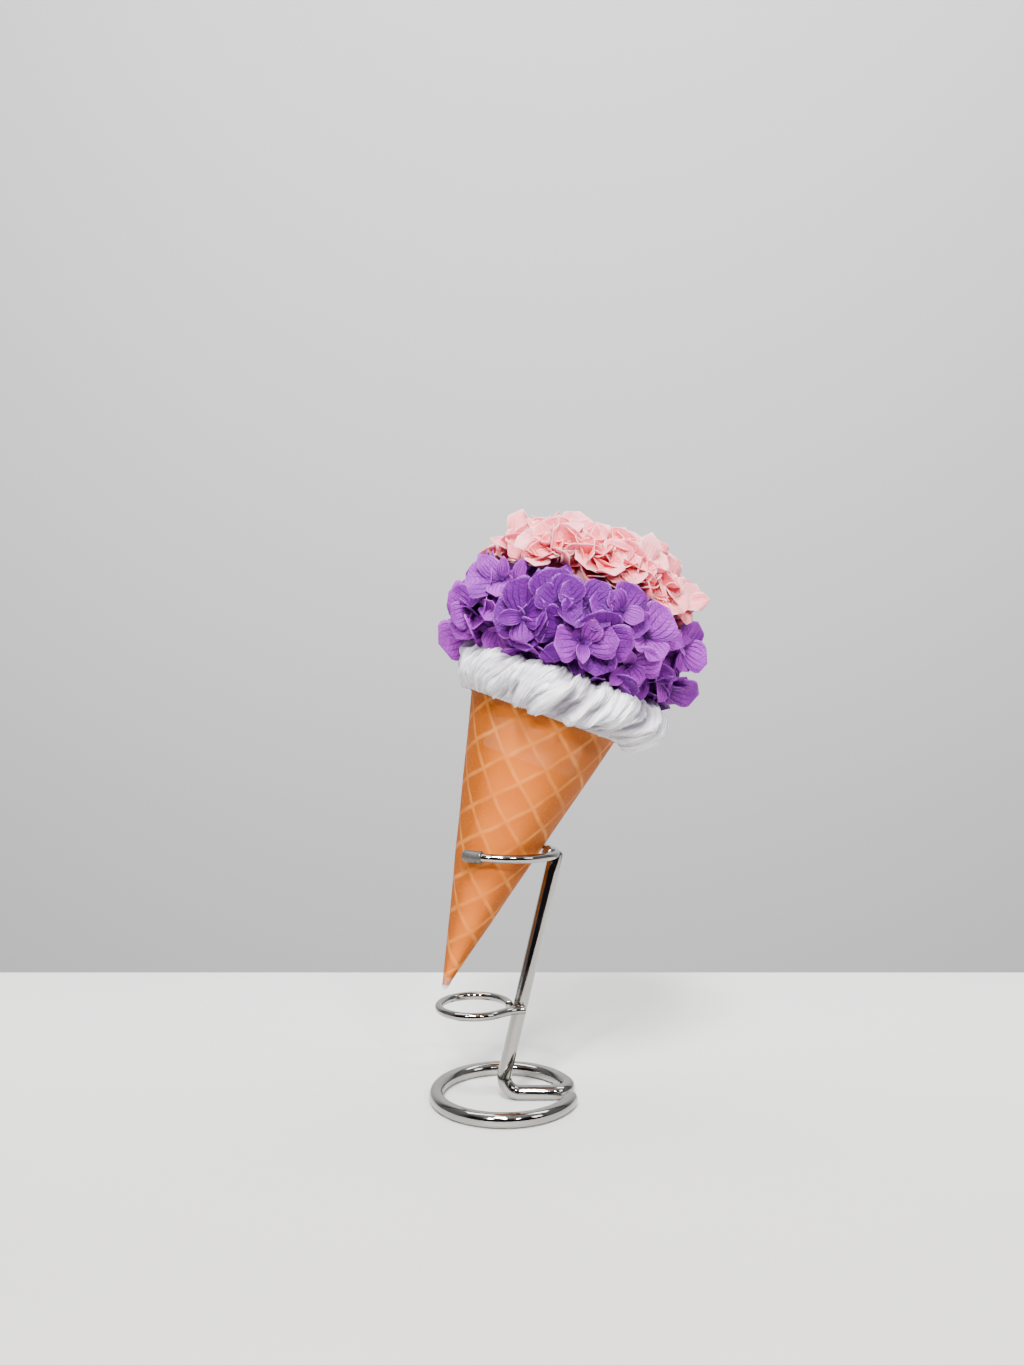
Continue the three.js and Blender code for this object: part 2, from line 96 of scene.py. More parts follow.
DOME_MIDDLE = 176
DOME_RADIUS = 57
DOME_TOP = 229
DOME_BELOW = 40
FLORET_DEPTH = 7.5
TIER_INNER = 190
TIER_OUTER = 204
FLORET = 27
GOLDEN = pi * (3 - sqrt(5))
UNEVEN = 0.04  # how far a sepal's size is off what its point says

# How thick the tissue and a sepal are, in metres
TISSUE = 0.00012
SEPAL = 0.00022

# Where the stand and the slanted bouquet are in the frame, in metres
STAND = Matrix.Translation((-0.02783, -0.00372, 0))
BOUQUET = (
    Matrix.Translation((-0.05633, -0.00602, 0.0473))
    @ Matrix.Rotation(radians(-2), 4, "X")
    @ Matrix.Rotation(radians(20), 4, "Y")
)

# The florets that face the front: across, along and pitch, close to the CAD's, and their sepals.
# A sepal has its way round the eye from the right, its reach, its tilt out and its shape; shapes
# from 10 on are narrow.
FRONT_FLORETS = [
    (-37.0, 183.4, 10, [(157, 16, 14, 10), (105, 10.5, 25, 11), (205, 16, 8, 2), (-75, 10, 20, 4)]),
    (-11.6, 179.7, 14, [(128, 16, 22, 0), (78, 15, 20, 3), (172, 11, 30, 6), (-5, 11, 15, 8)]),
    (-0.6, 183.7, 4, [(68, 13, 10, 1), (160, 13, 6, 3), (232, 12, 8, 5), (-16, 13.5, 8, 7)]),
    (14.6, 187.0, 10, [(78, 13, 18, 2), (150, 10, 30, 9), (-15, 10, 20, 4), (225, 9, 15, 6)]),
    (27.5, 180.5, 12, [(60, 17, 12, 5), (148, 11.5, 28, 1), (-42, 12, 16, 8), (215, 12, 24, 3)]),
    (47.0, 184.0, 0, [(82, 14, 20, 0), (-8, 14, 26, 7), (-95, 11, 8, 2), (165, 11, 22, 9)]),
    (-44.5, 168.5, 6, [(156, 14.5, 22, 4), (222, 12, 34, 6), (258, 15, 12, 1), (22, 13, 24, 8)]),
    (-22.7, 171.1, 12, [(112, 18, 12, 3), (208, 13, 36, 11), (20, 13, 30, 5), (-62, 12, 14, 0)]),
    (3.5, 168.9, 24, [(28, 16, 20, 7), (206, 13.5, 18, 2), (86, 11, 42, 9), (-78, 11, 34, 13)]),
    (24.5, 167.0, 4, [(40, 14.5, 14, 1), (112, 10, 42, 12), (242, 12, 20, 10), (-34, 11, 18, 6)]),
    (46.5, 165.5, -8, [(32, 17, 22, 3), (-17, 15, 14, 13), (85, 12, 26, 8), (172, 10, 30, 5)]),
    (-42.0, 159.5, -8, [(190, 17, 42, 0), (128, 13, 34, 12), (262, 11, 14, 4), (20, 12, 22, 7)]),
    (-16.8, 158.0, -8, [(-82, 14, 12, 6), (-36, 14, 18, 2), (222, 12.5, 20, 9), (82, 11, 26, 1)]),
    (16.5, 157.5, -6, [(14, 17, 14, 8), (126, 12, 36, 11), (236, 11, 16, 10), (-28, 14, 10, 5)]),
]
SIDE_LIMIT = 0.98  # how far across they may stand, as a share of the dome's radius there
FACE_FRONT = 0.45  # how far the front florets turn from the dome's outward way to the front
# The rows of purple florets round the back: along, count and pitch
BACK_ROWS = [(159.5, 5, -8), (172.5, 5, 4), (186.0, 5, 12)]
# The rows of smaller purple florets between the others: along, count and depth under the dome
FILL_ROWS = [(157, 13, 11.5), (164, 14, 11), (171, 15, 11), (178, 15, 11), (184.5, 14, 11.5)]
# Where the indexes of each kind of floret start; the draws go by them
PINK_FROM = 60
FILL_FROM = 200
STANDING_FROM = 500
PINK_FILL_FROM = 600
# How many sepals there are to pick from
BROAD_SHAPES = 10
NARROW_SHAPES = 4
# The pink florets of the CAD and the smaller ones between: how many, and where along they start
PINK_COUNT = 21
PINK_LOW = 203
PINK_FILL = 120
PINK_FILL_LOW = 196
PINK_FILL_HIGH = DOME_TOP - 15
# How wide the smaller florets are, and how much darker their sepals are painted, as painted shade
# for florets lying deep in the dome
FILL_SPAN = 25
PINK_FILL_SPAN = 22
FILL_PAINTED_SHADE = 0.35
TURN = 90  # how far florets are turned about their eye by chance, in degrees
# Pink florets that stand out of the dome: across, along, and their sepals in the same order
STANDING_PINK = [
    (-37.0, 200.5, [(104, 20, 26, 11), (78, 11, 24, 5), (46, 12, 20, 7), (190, 12, 20, 10)]),
    (-25.0, 201.0, [(92, 11, 14, 4), (168, 14, 8, 1), (18, 12, 14, 6), (-74, 11, 6, 3)]),
    (-15.0, 212.0, [(96, 13, 30, 8), (22, 12, 18, 2), (165, 12, 18, 6), (-88, 12, 10, 5)]),
    (17.0, 209.0, [(84, 16, 38, 13), (28, 13, 26, 0), (150, 11, 22, 3), (-62, 11, 14, 7)]),
    (38.0, 201.0, [(62, 14, 34, 6), (4, 15, 34, 12), (122, 12, 22, 9), (-78, 12, 14, 3)]),
    (30.0, 201.0, [(-84, 12, 14, 1), (-10, 12, 22, 5), (70, 11, 24, 4), (170, 12, 14, 8)]),
    (6.0, 204.0, [(186, 13, 14, 2), (4, 14, 14, 7), (96, 12, 24, 0), (-84, 10, 10, 5)]),
    (24.0, 213.0, [(100, 15, 30, 1), (58, 14, 26, 6), (150, 12, 20, 3), (10, 12, 14, 8)]),
    (33.0, 207.0, [(112, 16, 30, 7), (72, 11, 24, 2), (160, 12, 18, 9), (-20, 11, 10, 4)]),
    (-6.0, 209.0, [(75, 13, 30, 11), (110, 13, 26, 13), (-20, 11, 20, 8), (200, 11, 16, 10)]),
]


def draw(index, kind):
    """A repeatable draw from -0.5 to 0.5; its numbers only have to be uneven."""
    x = sin(index * 12.9898 + kind * 78.233) * 43758.5453
    return x - floor(x) - 0.5


def smooth(low, high, x):
    share = min(max((x - low) / (high - low), 0), 1)
    return share * share * (3 - 2 * share)


# Node trees


class Tree:
    """Adds nodes to a tree and joins them, in few words."""

    def __init__(self, tree):
        self.tree = tree

    def add(self, kind, **settings):
        node = self.tree.nodes.new(kind)
        for name, value in settings.items():
            setattr(node, name, value)
        return node

    def join(self, source, node, socket):
        self.tree.links.new(source, node.inputs[socket])

    def put(self, node, **values):
        """Sets inputs by their labels, with an underscore for each space."""
        for name, value in values.items():
            self.feed(node, name.replace("_", " "), value)
        return node

    def make(self, kind, **values):
        return self.put(self.add(kind), **values)

    def feed(self, node, socket, value):
        if isinstance(value, bpy.types.NodeSocket):
            self.join(value, node, socket)
        elif value is not None:
            node.inputs[socket].default_value = value

    def sum(self, operation, first, second=None, third=None):
        node = self.add("ShaderNodeMath", operation=operation)
        for i, value in enumerate((first, second, third)):
            self.feed(node, i, value)
        return node.outputs[0]

    def times(self, first, second):
        return self.sum("MULTIPLY", first, second)

    def range(self, value, low, high, to_low=0.0, to_high=1.0):
        node = self.add("ShaderNodeMapRange", interpolation_type="SMOOTHSTEP")
        for i, given in enumerate((value, low, high, to_low, to_high)):
            self.feed(node, i, given)
        return node.outputs[0]

    def fall(self, value, low, high):
        return self.range(value, low, high, 1.0, 0.0)

    def blend(self, share, first, second):
        node = self.add("ShaderNodeMix", data_type="RGBA")
        self.feed(node, 0, share)
        for socket, colour in ((6, first), (7, second)):
            self.feed(node, socket, (*colour, 1) if isinstance(colour, tuple) else colour)
        return node.outputs[2]

    def split(self, vector):
        node = self.add("ShaderNodeSeparateXYZ")
        self.join(vector, node, 0)
        return node.outputs

    def noise(self, vector, scale, detail=3.0, distortion=0.0):
        node = self.add("ShaderNodeTexNoise")
        self.feed(node, "Vector", vector)
        return self.put(node, Scale=scale, Detail=detail, Distortion=distortion).outputs["Fac"]

    def place(self, group, **values):
        node = self.add("ShaderNodeGroup", node_tree=group)
        return self.put(node, **values)


def new_group(name, vector, values, outputs):
    """A shader group that takes a vector and values, and gives values."""
    group = bpy.data.node_groups.new(name, "ShaderNodeTree")
    new = group.interface.new_socket
    new(vector, in_out="INPUT", socket_type="NodeSocketVector")
    for label, value in values.items():
        new(label, in_out="INPUT", socket_type="NodeSocketFloat").default_value = value
    for label in outputs:
        new(label, in_out="OUTPUT", socket_type="NodeSocketFloat")
    t = Tree(group)
    return group, t, t.add("NodeGroupInput").outputs, t.add("NodeGroupOutput")


def fine_grain_group():
    """Fibres and specks: a value round 0.5, coarse drifts and a height for a bump."""
    group, t, given, made = new_group(
        "fine grain", "Vector", {"Size": 0.002, "Drift": 0.03}, ("Grain", "Drift", "Height")
    )
    fine = t.noise(given["Vector"], t.sum("DIVIDE", 1.0, given["Size"]), 4.0)
    coarse = t.noise(given["Vector"], t.sum("DIVIDE", 1.0, given["Drift"]), 2.0)
    t.put(made, Grain=fine, Drift=coarse, Height=t.sum("MULTIPLY_ADD", coarse, 0.3, fine))
    return group


def sepal_veins_group():
    """Veins that fan from a sepal's foot with finer side veins, its dark throat and its rim."""
    group, t, given, made = new_group(
        "sepal veins", "Sepal", {"Shift": 0.0}, ("Veins", "Throat", "Rim")
    )
    across, along = t.split(given["Sepal"])[:2]
    waver = t.noise(given["Sepal"], 5.0, 2.0)
    shifted = t.sum("ADD", given["Shift"], waver)
    side = t.sum("ABSOLUTE", t.sum("SUBTRACT", across, 0.5))
    main = t.sum("PINGPONG", t.sum("MULTIPLY_ADD", side, 7.0, t.times(waver, 0.5)), 0.5)
    main = t.fall(main, 0.0, 0.19)
    rise = t.sum("MULTIPLY_ADD", side, -9.0, t.times(along, 8.0))
    fine = t.sum("PINGPONG", t.sum("ADD", rise, t.times(shifted, 1.6)), 0.5)
    fine = t.fall(fine, 0.0, 0.17)
    fade = t.range(along, 0.45, 1.0, 1.0, 0.15)
    veins = t.sum("MAXIMUM", t.times(main, fade), t.times(fine, 0.5))
    edge = t.sum("MAXIMUM", t.range(along, 0.90, 1.0), t.range(side, 0.44, 0.5))
    t.put(made, Veins=veins, Throat=t.fall(along, 0.03, 0.36), Rim=edge)
    return group


def new_material(name):
    material = bpy.data.materials.new(name)
    material.use_nodes = True
    shader = next(n for n in material.node_tree.nodes if n.type == "BSDF_PRINCIPLED")
    return material, Tree(material.node_tree), shader


def grained_material(name, grain, size, drift):
    """A new material with the grain's outputs in it."""
    material, t, shader = new_material(name)
    place = t.place(grain, Vector=object_place(t), Size=size, Drift=drift)
    return material, t, shader, place.outputs


def bump(t, shader, height, distance, strength):
    node = t.make("ShaderNodeBump", Strength=strength, Distance=distance, Height=height)
    t.join(node.outputs["Normal"], shader, "Normal")


def object_place(t):
    return t.add("ShaderNodeTexCoord").outputs["Object"]


def grained(name, grain, size, drift, by, deep, light, rough, relief, **settings):
    """Plain stuff whose colour and roughness drift with the grain."""
    material, t, shader, look = grained_material(name, grain, size, drift)
    t.join(t.blend(look[by], deep, light), shader, "Base Color")
    if rough:
        t.join(t.range(look[by], *rough), shader, "Roughness")
    t.put(shader, **settings)
    bump(t, shader, look["Height"], *relief)
    return material


def packed_heart(name, grain, deep, light):
    """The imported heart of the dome, seen only in the gaps between florets, and the closed buds."""
    return grained(
        name, grain, 0.004, 0.012, "Grain", deep, light, None, (0.002, 0.9),
        Roughness=0.75, Specular_IOR_Level=0.12,
    )


def waffle_paper(grain):
    """Card printed with a soft pale lattice, with painted shade towards its sides; the sheet's UV
    counts the lattice's cells.
    """
    material, t, shader, look = grained_material("waffle_paper", grain, 0.0009, 0.022)
    sheet = t.add("ShaderNodeUVMap", uv_map="sheet").outputs[0]
    waver = t.times(t.sum("SUBTRACT", t.noise(sheet, 1.3, 3.0), 0.5), 0.16)
    lines = []
    shades = []
    for cell in t.split(sheet)[:2]:
        at = t.sum("ADD", cell, waver)
        lines.append(t.fall(t.sum("PINGPONG", at, 0.5), 0.03, 0.095))
        shades.append(t.sum("FRACT", at))
    strength = t.range(t.noise(sheet, 0.9, 2.0), 0.3, 0.7, 0.12, 0.38)
    line = t.times(t.sum("MAXIMUM", *lines), strength)
    hollow = t.range(t.sum("SUBTRACT", *shades), -0.9, 0.9)
    base = t.blend(look["Drift"], (0.55, 0.115, 0.006), (0.69, 0.18, 0.015))
    base = t.blend(t.times(hollow, 0.6), base, (0.43, 0.078, 0.002))
    # Painted shade: the card is darkened where its surface turns away from the view, so the cone's
    # sides look shaded
    away = t.add("ShaderNodeLayerWeight").outputs["Facing"]
    base = t.blend(t.range(away, 0.02, 0.38, 0.0, 0.95), base, (0.30, 0.066, 0.001))
    base = t.blend(line, base, (0.90, 0.34, 0.06))
    freckle = t.range(look["Grain"], 0.30, 0.44, 0.30, 0.0)
    base = t.blend(freckle, base, (0.52, 0.19, 0.05))
    rough = t.range(look["Grain"], 0.3, 0.7, 0.50, 0.64)
    t.put(shader, Base_Color=base, Roughness=rough, Specular_IOR_Level=0.12)
    bump(t, shader, look["Height"], 0.00007, 0.5)
    return material


def clear_film(name, grain, colour, alpha, roughness, end=None):
    """Thin clear film; it turns milky below the height of its gathered end."""
    fade = 0.0022
    material, t, shader, look = grained_material(name, grain, 0.003, 0.012)
    lighter = tuple(min(1.0, c * 1.12) for c in colour)
    cover = t.range(look["Drift"], 0.3, 0.7, *alpha)
    if end:
        height = t.split(object_place(t))[2]
        cover = t.sum("MAXIMUM", cover, t.range(height, end, end + fade, 0.75, 0.0))
    rough = t.range(look["Grain"], 0.3, 0.7, roughness, roughness + 0.1)
    t.put(shader, Base_Color=t.blend(look["Drift"], colour, lighter), Alpha=cover, Roughness=rough)
    bump(t, shader, look["Height"], 0.0001, 0.4)
    return material


def gathered_tissue(grain):
    """White tissue with fine creases along its folds, greyed with painted shade along the creases
    and in the hollows between the folds.
    """
    material, t, shader, look = grained_material("gathered_tissue", grain, 0.0016, 0.012)
    weave = t.add("ShaderNodeUVMap", uv_map="cloth").outputs[0]
    stretched = t.make("ShaderNodeMapping", Vector=weave, Scale=(110, 2.2, 1))
    cloud = t.noise(stretched.outputs[0], 1.0, 4.0, 0.4)
    creases = t.times(t.sum("ABSOLUTE", t.sum("SUBTRACT", cloud, 0.5)), 4.0)
    colour = t.blend(look["Drift"], (0.90, 0.87, 0.93), (0.98, 0.96, 1.0))
    # Painted shade: the white tissue is greyed along its fine creases and in the hollows between its
    # folds
    valley = t.add("ShaderNodeAttribute", attribute_name="valley").outputs["Fac"]
    valley = t.range(valley, 0.22, 0.8, 0.0, 0.95)
    fold = t.sum("MAXIMUM", t.range(creases, 0.0, 0.24, 0.5, 0.0), valley)
    t.put(
        shader,
        Base_Color=t.blend(fold, colour, (0.34, 0.30, 0.37)),
        Roughness=t.range(creases, 0.1, 0.6, 0.3, 0.5),
        Subsurface_Weight=0.06,
        Subsurface_Scale=0.001,
        Subsurface_Radius=(1.0, 0.97, 1.0),
    )
    bump(t, shader, creases, 0.0011, 1.0)
    return material


def preserved_petal(name, veins, grain, deep, light, throat, vein, rim, vein_share):
    """A dyed, preserved sepal: drifting colour, fanned veins, a darker throat and a paler rim."""
    material, t, shader, look = grained_material(name, grain, 0.0009, 0.009)
    sepal = t.add("ShaderNodeUVMap", uv_map="sepal").outputs[0]
    # The per-sepal colour share holds chance tone together with the painted light and shade set on
    # the florets
    tint = t.add("ShaderNodeAttribute", attribute_name="tint").outputs["Fac"]
    drawn = t.place(veins, Sepal=sepal, Shift=t.times(tint, 3.0)).outputs
    mottle = t.sum("MULTIPLY_ADD", t.sum("SUBTRACT", look["Drift"], 0.5), 1.1, tint)
    colour = t.blend(t.range(mottle, 0.05, 0.95), deep, light)
    for part, share, tone in (
        ("Rim", 0.5, rim), ("Throat", 0.85, throat), ("Veins", vein_share, vein),
    ):
        colour = t.blend(t.times(drawn[part], share), colour, tone)
    t.put(
        shader,
        Base_Color=colour,
        Roughness=t.range(look["Grain"], 0.3, 0.7, 0.45, 0.62),
        Specular_IOR_Level=0.16,
        Subsurface_Weight=0.3,
        Subsurface_Scale=0.0012,
        Subsurface_Radius=(1.0, 0.7, 1.0),
    )
    bump(t, shader, t.sum("MULTIPLY_ADD", drawn["Veins"], -0.8, look["Height"]), 0.0004, 0.9)
    return material


def stage_material(name, near_shade, far, roughness):
    """Plain and pale, a little darker towards the front, as painted shade on the front part of the
    table.
    """
    material, t, shader = new_material(name)
    # Painted shade: the colour darkens towards the front of the table
    back = t.range(t.split(object_place(t))[1], -0.2, 0.16)
    t.put(shader, Base_Color=t.blend(back, near_shade, far), Roughness=roughness)
    return material


# Meshes


def linked(name, data):
    """A new object with that data, in the scene."""
    obj = bpy.data.objects.new(name, data)
    bpy.context.scene.collection.objects.link(obj)
    return obj


def shade(mesh, smooth=True):
    mesh.polygons.foreach_set("use_smooth", [smooth] * len(mesh.polygons))


def new_object(name, verts, faces, finish=None, uv=None):
    """A mesh in metres; uv is a map's name and a pair for each vertex."""
    mesh = bpy.data.meshes.new(name)
    mesh.from_pydata(verts, [], faces)
    mesh.validate()
    if uv:
        layer = mesh.uv_layers.new(name=uv[0])
        for loop in mesh.loops:
            layer.data[loop.index].uv = uv[1][loop.vertex_index]
    shade(mesh)
    if finish:
        mesh.materials.append(finish)
    return linked(name, mesh)


def thicken(obj, thickness):
    wall = obj.modifiers.new("thin", "SOLIDIFY")
    wall.thickness = thickness
    wall.offset = 0


def polar(r, angle, z):
    return Vector((r * cos(angle), r * sin(angle), z))


def strip(low, high, count, ring=False):
    """The faces between two rows of corners that start at low and high."""
    faces = []
    for i in range(count):
        k = (i + 1) % count if ring else i + 1
        faces.append((low + i, high + i, high + k, low + k))
    return faces


def turned(profile, steps):
    """Corners and faces of a profile of radius and height turned round Z; an end on it closes."""
    verts, rows = [], []
    for r, z in profile:
        if r < 1e-9:
            rows.append([len(verts)] * steps)
            verts.append(Vector((0, 0, z)))
        else:
            rows.append(list(range(len(verts), len(verts) + steps)))
            for i in range(steps):
                verts.append(polar(r, 2 * pi * i / steps, z))
    faces = []
    for low, high in zip(rows, rows[1:]):
        for i in range(steps):
            j = (i + 1) % steps
            ring = [low[i], low[j], high[j], high[i]]
            corners = [c for k, c in enumerate(ring) if c not in ring[:k]]
            if len(corners) > 2:
                faces.append(corners)
    return verts, faces


def placed(verts, matrix):
    """Corners in mm brought to metres and to their place."""
    return [matrix @ (Vector(v) / 1000) for v in verts]


# The wires of the stand


def arc(centre, spoke, axis, angle, steps):
    return [
        Vector(centre) + Quaternion(axis, angle * i / steps) @ Vector(spoke)
        for i in range(steps + 1)
    ]


def stem_x(z):
    return FOOT_X + (z - ROD / 2) * tan(STEM_LEAN)


def rod_path():
    z = ROD / 2
    hairpin_x = sqrt((BASE_RADIUS - HAIRPIN_RADIUS) ** 2 - HAIRPIN_RADIUS**2)
    meet = atan2(HAIRPIN_RADIUS, hairpin_x)
    up = (0, 0, 1)
    spoke = (BASE_RADIUS * cos(RING_END), -BASE_RADIUS * sin(RING_END), 0)
    ring = arc((0, 0, z), spoke, up, -(2 * pi - RING_END - meet), 96)
    hairpin = Vector((hairpin_x, HAIRPIN_RADIUS, z))
    turn = arc(hairpin, ring[-1] - hairpin, up, -(pi / 2 + meet), 16)
    foot_angle = pi / 2 + STEM_LEAN
    foot_start = Vector((FOOT_X + FOOT_RADIUS * tan(foot_angle / 2), 0, z))
    centre = foot_start + Vector((0, 0, FOOT_RADIUS))
    foot = arc(centre, foot_start - centre, (0, 1, 0), foot_angle, 16)
    top = Vector((stem_x(CLAMP_Z), 0, CLAMP_Z))
    bar = [turn[-1].lerp(foot_start, i / 4) for i in range(1, 4)]
    stem = [foot[-1].lerp(top, i / 12) for i in range(1, 13)]
    return ring + turn[1:] + bar + foot + stem


def tip_ring_path():
    stem = stem_x(TIP_RING_Z)
    sink = 0.4
    pull = 3.5
    middle_x = stem - (ROD + WIRE) / 2 / cos(STEM_LEAN) + sink - TIP_RING_RADIUS
    middle = Vector((middle_x, 0, TIP_RING_Z))
    leave = radians(48)
    reach = radians(7)
    join = middle + Vector((cos(leave), -sin(leave), 0)) * TIP_RING_RADIUS
    heading = Vector((sin(leave), cos(leave), 0))
    tail = Vector((stem + TIP_RING_TAIL, -(ROD + WIRE) / 2 - GAP, TIP_RING_Z))
    pulls = [tail, Vector((stem - pull, tail.y, tail.z)), join + heading * pull, join]
    bend = []
    for i in range(13):
        t = i / 12
        shares = ((1 - t) ** 3, 3 * t * (1 - t) ** 2, 3 * t * t * (1 - t), t**3)
        bend.append(sum((p * s for p, s in zip(pulls, shares)), Vector((0, 0, 0))))
    turn = arc(middle, join - middle, (0, 0, 1), -(2 * pi - leave - reach), 80)
    return bend + turn[1:]


def clamp_point(angle):
    stem = stem_x(CLAMP_Z)
    x = stem - CLAMP_REACH * (1 - cos(angle))
    return Vector((x, CLAMP_SIDE * sin(angle), CLAMP_Z + (stem - x) * tan(CLAMP_RISE)))


def clamp_path():
    return [clamp_point(CLAMP_END * (2 * i / 96 - 1)) for i in range(97)]


def rounded_ends(path, run):
    """Points and their share of the wire's radius, with both ends drawn in over a short run."""
    first = (path[0] - path[1]).normalized()
    last = (path[-1] - path[-2]).normalized()
    turns = [radians(a) for a in (25, 45, 62, 76, 86)]
    head = [(path[0] + first * run * sin(a), cos(a)) for a in reversed(turns)]
    foot = [(path[-1] + last * run * sin(a), cos(a)) for a in turns]
    return head + [(p, 1.0) for p in path] + foot


def shape_tree(name, source, inputs, made):
    """A geometry tree, its inputs' identifiers by label, what it is given and its end."""
    tree = bpy.data.node_groups.new(name, "GeometryNodeTree")
    new = tree.interface.new_socket
    new(source, in_out="INPUT", socket_type="NodeSocketGeometry")
    ids = {}
    for label, kind in (*inputs, ("Finish", "Material")):
        ids[label] = new(label, in_out="INPUT", socket_type="NodeSocket" + kind).identifier
    new(made, in_out="OUTPUT", socket_type="NodeSocketGeometry")
    t = Tree(tree)
    return t, ids, t.add("NodeGroupInput").outputs, t.add("NodeGroupOutput")


def end_tree(t, geometry, given, made):
    """Makes instances real, gives the shape its finish and hands it out."""
    real = t.add("GeometryNodeRealizeInstances")
    t.join(geometry, real, 0)
    coat = t.make(
        "GeometryNodeSetMaterial", Geometry=real.outputs[0], Material=given["Finish"]
    )
    t.join(coat.outputs[0], made, 0)


def drawn_wire_tree():
    """Sweeps a round section along a path; the path's own radius is a share of the wire's."""
    t, ids, given, made = shape_tree(
        "drawn wire", "Path", [("Wire Radius", "Float"), ("Round Steps", "Int")], "Wire"
    )
    section = t.make(
        "GeometryNodeCurvePrimitiveCircle",
        Radius=given["Wire Radius"], Resolution=given["Round Steps"],
    )
    sweep = t.make(
        "GeometryNodeCurveToMesh",
        Curve=given["Path"], Profile_Curve=section.outputs["Curve"], Fill_Caps=True,
        Scale=t.add("GeometryNodeInputRadius").outputs[0],
    )
    soft = t.make("GeometryNodeSetShadeSmooth", Geometry=sweep.outputs["Mesh"])
    end_tree(t, soft.outputs[0], given, made)
    return t.tree, ids


def grown(name, data, tree_and_ids, **values):
    """The mesh that the tree makes of the data, as a plain object."""
    tree, ids = tree_and_ids
    source = linked(data.name, data)
    modifier = source.modifiers.new(tree.name, "NODES")
    modifier.node_group = tree
    for label, value in values.items():
        modifier[ids[label.replace("_", " ")]] = value
    bpy.context.view_layer.update()
    graph = bpy.context.evaluated_depsgraph_get()
    mesh = bpy.data.meshes.new_from_object(source.evaluated_get(graph))
    mesh.name = name
    bpy.data.objects.remove(source, do_unlink=True)
    return linked(name, mesh)


def sweep_wire(name, shaped, radius, finish, wire_tree):
    curve = bpy.data.curves.new(name + "_path", "CURVE")
    curve.dimensions = "3D"
    line = curve.splines.new("POLY")
    line.points.add(len(shaped) - 1)
    for point, (at, share) in zip(line.points, shaped):
        point.co = (*(STAND @ (at / 1000)), 1)
        point.radius = share
    return grown(
        name, curve, wire_tree, Wire_Radius=radius / 1000, Round_Steps=WIRE_STEPS, Finish=finish
    )


def end_cap(name, side, finish, wire_tree):
    """A sleeve pushed over the clamp's free end: a lip, a fine groove, and a domed end."""
    length = CAP_LENGTH
    rate = 1 / (CLAMP_REACH + CLAMP_SIDE) * 2
    end = side * CLAMP_END
    tip = clamp_point(end)
    out = (tip - clamp_point(end - side * 0.02)).normalized()
    lip = 1.07
    shape = [(length, 0.72), (length - 0.02, 0.95), (length - 0.25, lip), (length - 0.9, lip)]
    shape += [(length - 1.15, 0.97), (length - 1.4, 0.98), (length * 0.6, 1.0), (length * 0.3, 1.0)]
    shape += [(0, 1.0), (-0.5, 0.985), (-0.9, 0.92), (-1.15, 0.78), (-1.28, 0.5), (-1.3, 0.1)]
    shaped = []
    for run, share in shape:
        at = clamp_point(end - side * run * rate) if run > 0 else tip - out * run
        shaped.append((at, share))
    return sweep_wire(name, shaped, CAP / 2, finish, wire_tree)


def weld_bead(name, centre, size, seed, finish):
    """A small lump of weld that has run round the joint."""
    uneven, fineness = 0.22, 1.7
    ball = bmesh.new()
    bmesh.ops.create_icosphere(ball, subdivisions=4, radius=1)
    for vert in ball.verts:
        lump = noise.noise(vert.co * fineness + Vector((seed, 0, 0)))
        vert.co *= 1 + uneven * lump
        vert.co = STAND @ Vector([(c + v * s) / 1000 for c, v, s in zip(centre, vert.co, size)])
    mesh = bpy.data.meshes.new(name)
    ball.to_mesh(mesh)
    ball.free()
    shade(mesh)
    mesh.materials.append(finish)
    return linked(name, mesh)


# The cone, its label and its tip wrap

LATTICE_PITCH = 12.9
LATTICE_TURN = radians(42.8)
LATTICE_SHIFT = (-37.19, 106.04)
LAP = 0.35
WRAP_END = 0.0521  # how high in the frame the tip's wrap is gathered, in metres


def sheet_place(angle, along):
    """Where a point of the cone lies on the card laid flat, counted in cells of the lattice."""
    reach = along / cos(HALF_ANGLE)
    swing = (angle + pi / 2) * sin(HALF_ANGLE)
    x = reach * sin(swing) - LATTICE_SHIFT[0]
    y = reach * cos(swing) - LATTICE_SHIFT[1]
    c, s = cos(LATTICE_TURN), sin(LATTICE_TURN)
    return ((x * s + y * c) / LATTICE_PITCH, (x * c - y * s) / LATTICE_PITCH)


def cone_profile():
    ball = TIP_ROUND / sin(HALF_ANGLE)
    profile = []
    for i in range(9):
        angle = -pi / 2 + (pi / 2 - HALF_ANGLE) * i / 8
        profile.append((TIP_ROUND * cos(angle), ball + TIP_ROUND * sin(angle)))
    profile[0] = (0.02, profile[0][1])
    low = profile[-1][1]
    high = CONE_HEIGHT - 1.6
    profile += [(z * SLOPE, z) for z in (low + (high - low) * i / 44 for i in range(1, 45))]
    edge = MOUTH_RADIUS + RIM_ROLL
    roll = [(0.25, 1.3), (0, 0.9), (0, 0.45), (0.3, 0.1), (0.7, 0), (1.1, 0.3), (1.3, 1.2)]
    profile += [(edge - inward, CONE_HEIGHT - down) for inward, down in roll]
    profile += [(z * SLOPE - 0.5, z) for z in (CONE_HEIGHT - 4, CONE_HEIGHT - 9)]
    return profile


